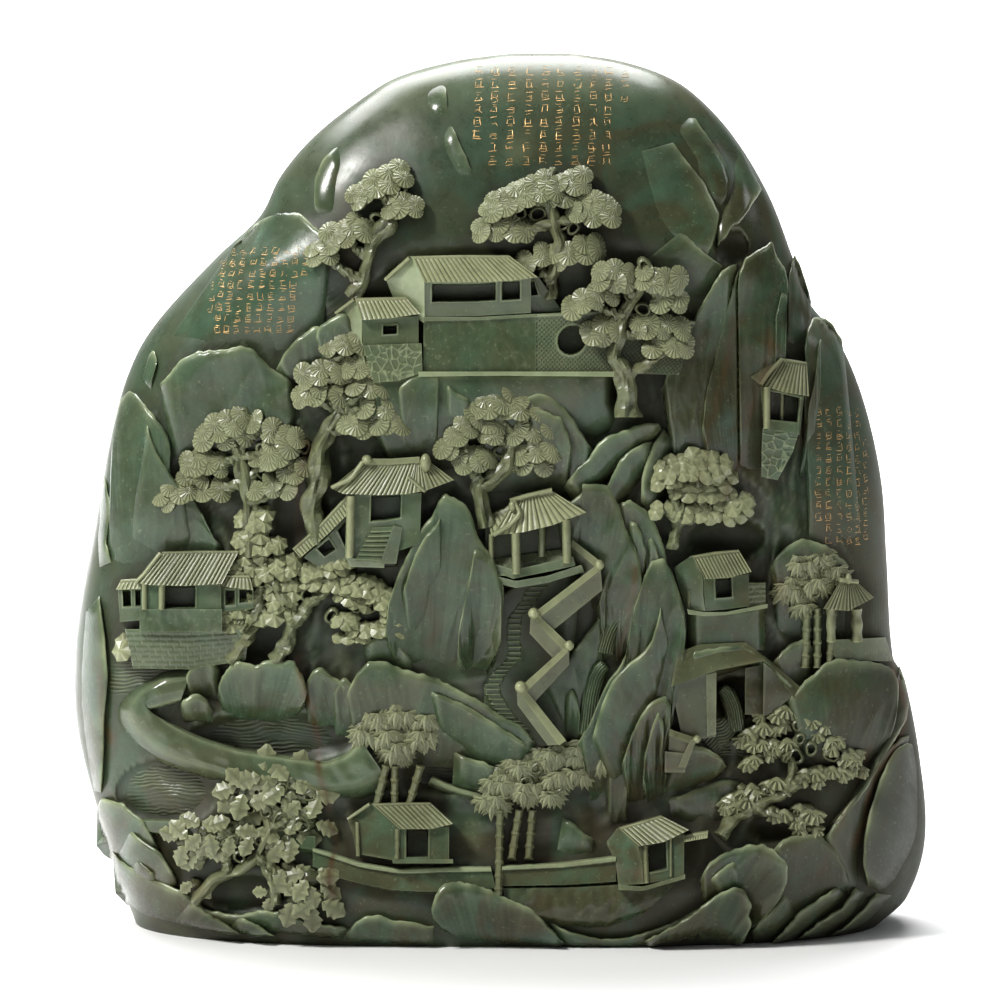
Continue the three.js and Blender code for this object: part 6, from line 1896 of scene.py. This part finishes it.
bamboos = bamboo(
    [(-62, 60, 80, 5), (-53, 60, 80, 0), (-46, 60, 80, 6)],
    [(-60, 101, 9), (-68, 94, 7), (-40, 92, 8), (-52, 86, 9), (-50, 104, 9), (-38, 100, 7),
     (-57, 92, 8)], 321)
bamboos += bamboo(
    [(-1.5, 12, 58, 1), (5, 33, 58, 4), (13.5, 33, 58, 2)],
    [(-4, 60, 8), (0, 70, 10), (12, 66, 9), (10, 78, 9), (24, 82, 10), (38, 84, 9), (48, 80, 7),
     (28, 72, 9), (38, 74, 7), (24, 64, 6)], 331)
bamboos += bamboo(
    [(151, 128, 158, 1), (157, 128, 158, 0), (163, 129, 158, 2)],
    [(150, 178, 9), (144, 166, 8), (157, 168, 9), (166, 174, 7), (160, 180, 7), (150, 158, 6)], 341)
bamboos += pits(10, [
    (17.5, 78, 1.9), (12.5, 71.5, 1.9), (27.5, 69.5, 1.9), (156, 182, 1.5), (149, 174, 1.4),
    (147.5, 165, 1.7), (156, 165, 1.5), (161, 176, 1.4), (168, 172, 1.5), (151.5, 157, 1.4)])
piece("bamboo", bamboos, relief_jade, flat=True, edges_light=0.3)

# %% [markdown]
# ## Gilt strokes
# Three blocks of gilded writing are cut into the polished faces. They are given here as columns of
# short shallow strokes that form no letters: each stroke is a narrow spindle of sixteen faces, and
# each place in a column holds a few of them, level, upright or slanted. A line of sight through each
# place is followed to the real surface, so the strokes lie on stone and rock alike.

# %% Stroke helpers
def spindle():
    """A narrow stroke from -1 to 1, widest in the middle."""
    stations = ((-1, 0.08, 0.03), (0.1, 0.14, 0.06), (1, 0.09, 0.03))
    rings = [[(x, -w, 0), (x, 0, h), (x, w, 0), (x, 0, -h)] for x, w, h in stations]
    return shell(np.array(rings), 1.0)


carved = bpy.context.evaluated_depsgraph_get()
grounds = [BVHTree.FromObject(made, carved) for made in (stone, cliffs_left, cliffs_right)]


def on_surface(across, up):
    """The place and slope where a line of sight through the drawing first meets stone or cliff."""
    sight = Vector((0, math.cos(VIEW_RISE), -math.sin(VIEW_RISE)))
    start = (place(across, up, 120) + SHIFT) / 1000
    hits = [ground.ray_cast(Vector(start), sight) for ground in grounds]
    nearest = min((hit for hit in hits if hit[0]), key=lambda hit: hit[3])
    return np.array(nearest[0]) * 1000 - SHIFT, np.array(nearest[1])


# The eight strokes of a place: offset across and up in parts of its size, turn, length and chance
PLACE_STROKES = np.array([
    (0, 0.95, 0.06, 0.7, 0.8), (0, 0.35, 0.03, 0.5, 0.6), (0, -0.3, 0.05, 0.75, 0.8),
    (0, -0.95, 0.08, 0.85, 0.7), (-0.6, 0, 1.55, 0.8, 0.6), (0.55, 0, 1.58, 0.7, 0.6),
    (-0.5, -0.5, 0.9, 0.45, 0.5), (0.6, -0.6, -0.9, 0.5, 0.5),
])


def strokes(columns, pitch, size, lean, seed):
    """Strokes for columns of [across, top, places]: each place is a square of four level strokes,
    two upright ones and two slanted ones, of seeded lengths, some of them left out."""
    dice = np.random.default_rng(seed)
    rows = []
    for across, top, places in columns:
        for k in range(places):
            turns = PLACE_STROKES[:, 2] + dice.normal(0, 0.10, 8)
            lengths = PLACE_STROKES[:, 3] * dice.uniform(0.55, 1.15, 8)
            keep = dice.uniform(0, 1, 8) < PLACE_STROKES[:, 4]
            x, z = ((PLACE_STROKES[:, :2] + dice.normal(0, 0.12, (8, 2))) * size).T
            at = [across + x - lean * k * pitch, top - k * pitch + z, turns, lengths * size]
            rows.append(np.column_stack(at)[keep])
    across, up, turn, length = np.concatenate(rows).T
    found = [on_surface(a, b) for a, b in zip(across, up)]
    centre, normal = (np.array(part) for part in zip(*found))
    return copies_of(spindle(), centre + 0.05 * normal, normal, turn, length)


print("points of one stroke:", len(spindle()[0]))

# %% Inscriptions
first = [
    (61.5, 424, 3), (53.5, 424.5, 8), (46, 424.5, 8), (38, 424.5, 8), (29.5, 424.5, 8), (22, 424.5, 8),
    (14, 424.5, 8), (5.5, 424.5, 8), (-3, 424.5, 8), (-11, 424.5, 6),
]
second = [
    (-96.5, 335, 3), (-101.5, 335, 8), (-106.5, 335, 8), (-112, 335, 8), (-117.5, 335, 8), (-122.5, 335, 8),
    (-128, 335, 8), (-133, 335, 8), (-138, 330, 7), (-143.5, 318, 3),
]
third = [
    (157.5, 255.5, 10), (162.5, 255.5, 12), (168, 255.5, 12), (173, 255.5, 12), (177.3, 255, 12),
    (181.5, 240, 9),
]
inscriptions = [
    strokes(first, 6.4, 2.3, 0.035, 401),
    strokes(second, 5.57, 1.9, 0.09, 402),
    strokes(third, 5.8, 1.8, 0, 403),
]
piece("inscriptions", inscriptions, gilt, slot="gilt", flat=True)
print("gilt strokes", sum(len(made[0]) for made in inscriptions) // len(spindle()[0]))

# %% [markdown]
# ## Painted shade and dust in the hollows
# What lies deep is painted darker, as the shade that falls into hollows, with some dust, and what
# stands out before its surroundings is painted paler, as a highlight. To find the depths, all the
# points are drawn on one map as seen from the front, with the nearest one kept in each square. A
# point that lies behind the map's local mean is sunk, and a point before it is raised.

# %% Depth map helpers
MAP_SQUARE, MAP_LEFT, MAP_FOOT, MAP_SHAPE = 1.5, 225, 25, (330, 300)
EMPTY = -1000.0


def averaged(grid, reach):
    """Mean over a square of cells on both sides of each cell, from differences of running sums."""
    for axis in (0, 1):
        padded = np.pad(grid, [(reach + 1, reach) if k == axis else (0, 0) for k in (0, 1)])
        total = np.cumsum(padded, axis)
        after, before = [slice(None)] * 2, [slice(None)] * 2
        after[axis], before[axis] = slice(2 * reach + 1, None), slice(None, -2 * reach - 1)
        grid = (total[tuple(after)] - total[tuple(before)]) / (2 * reach + 1)
    return grid


def map_cells(points):
    """Row and column on the map, and the nearness towards the viewer, of points in millimetres."""
    column = ((points[:, 0] + MAP_LEFT) / MAP_SQUARE).astype(int)
    height = points[:, 2] * math.cos(VIEW_RISE) + points[:, 1] * math.sin(VIEW_RISE)
    nearness = points[:, 2] * math.sin(VIEW_RISE) - points[:, 1] * math.cos(VIEW_RISE)
    return ((height + MAP_FOOT) / MAP_SQUARE).astype(int), column, nearness


def points_of(made):
    """The mesh points of an object, in millimetres."""
    found = np.empty(len(made.data.vertices) * 3, np.float32)
    made.data.vertices.foreach_get("co", found)
    return found.reshape(-1, 3) * 1000.0


print("map of", MAP_SHAPE, "squares,", MAP_SQUARE, "mm wide")

# %% Sunk and raised places
nearest = np.full(MAP_SHAPE, EMPTY)
for made in jade_pieces:
    row, column, nearness = map_cells(points_of(made))
    np.maximum.at(nearest, (row, column), nearness)
filled = nearest.copy()
for down in (-1, 0, 1):
    for across in (-1, 0, 1):
        filled = np.maximum(filled, np.roll(nearest, (down, across), (0, 1)))
covered = filled > EMPTY
covered_share = averaged(averaged(covered * 1.0, 4), 3)
level = averaged(averaged(np.where(covered, filled, 0), 4), 3) / np.maximum(covered_share, 1e-6)
for made in jade_pieces:
    points = points_of(made)
    row, column, nearness = map_cells(points)
    gap = (level[row, column] - nearness) * step(-points[:, 1], -8, 30)
    # Sunk points get painted shade with some dust, raised ones a painted highlight
    sunk, raised = 0.95 * step(gap, 1.0, 9.0) * (gap < 45), 0.30 * step(-gap, 0.5, 9.0)
    for label, change in (("shade_and_dust", sunk), ("light", raised)):
        stored_values = made.data.attributes[label].data
        values = np.empty(len(points), np.float32)
        stored_values.foreach_get("value", values)
        stored_values.foreach_set("value", np.minimum(values + change, 1).astype(np.float32))
print("map covers", round(float(covered.mean()), 2), "deepest", round(float(gap.max()), 1))

# %% [markdown]
# ## Studio
# The stone stands on a pale floor under soft square lamps, half a metre wide or more. Behind the
# camera the room is dim, so the polished front stays dark green, while the bright room above and
# behind lights the rim. The room is a smooth change of brightness with direction.

# %% Floor
floor_mesh = bpy.data.meshes.new("floor")
FAR = 30
floor_mesh.from_pydata([(-FAR, -FAR, 0), (FAR, -FAR, 0), (FAR, FAR, 0), (-FAR, FAR, 0)], [], [(0, 1, 2, 3)])
floor = add_object("floor", floor_mesh)
floor_material, floor_tree, floor_shader, where = new_finish("studio_floor")
floor_grain = noise(floor_tree, where, 0.4, 2)
floor_colour = blended(floor_tree, floor_grain, (0.86, 0.86, 0.86), (0.90, 0.90, 0.90))
floor_tree.links.new(floor_colour, floor_shader.inputs["Base Color"])
floor_shader.inputs["Roughness"].default_value = 0.8
floor_mesh.materials.append(floor_material)
print("floor reaches, m:", FAR)

# %% Lamps
def lamp(name, at, aim, size, watts, tint=(1, 1, 1)):
    """A soft square lamp that faces a point."""
    light = bpy.data.lights.new(name, "AREA")
    light.size, light.energy, light.color = size, watts, tint
    made = add_object(name, light)
    way = np.array(aim, float) - np.array(at, float)
    way /= np.linalg.norm(way)
    made.location = at
    made.rotation_euler = (math.acos(-way[2]), 0, math.atan2(way[1], way[0]) - math.pi / 2)
    return made


lamps = [
    lamp("window", (-1.6, -1.0, 2.1), (0, 0, 0.22), 0.55, 75, (1, 0.99, 0.96)),
    lamp("right_strip", (2.3, 0.5, 1.5), (0, 0, 0.28), 0.5, 4, (0.95, 0.98, 1)),
    lamp("backdrop_light", (-0.5, 2.3, 2.6), (-0.5, 2.3, 0), 3.2, 340),
    lamp("top_light", (0.1, 0.5, 2.3), (0, 0.0, 0.2), 1.2, 5),
]
print("lamps", [made.name for made in lamps])

# %% Room and colour
world = bpy.data.worlds.new("studio")
bpy.context.scene.world = world
world.use_nodes = True
sky = world.node_tree
direction = sky.nodes.new("ShaderNodeTexCoord").outputs["Generated"]
parts = sky.nodes.new("ShaderNodeSeparateXYZ")
sky.links.new(direction, parts.inputs[0])
room = blended(sky, ranged(sky, parts.outputs["Z"], -0.1, 0.9), (0.07, 0.075, 0.07), (0.40, 0.41, 0.42))
room = blended(sky, ranged(sky, parts.outputs["X"], -0.5, 0.7, 0.0, 0.7), room, (0.02, 0.02, 0.02))
room = blended(sky, ranged(sky, parts.outputs["Y"], 0.80, 0.98), room, (0.85, 0.85, 0.85))
sky.links.new(room, sky.nodes["Background"].inputs["Color"])
sky.nodes["Background"].inputs["Strength"].default_value = 1.0
bpy.context.scene.view_settings.view_transform = "Standard"
print("room", world.name, "with nodes", len(sky.nodes))
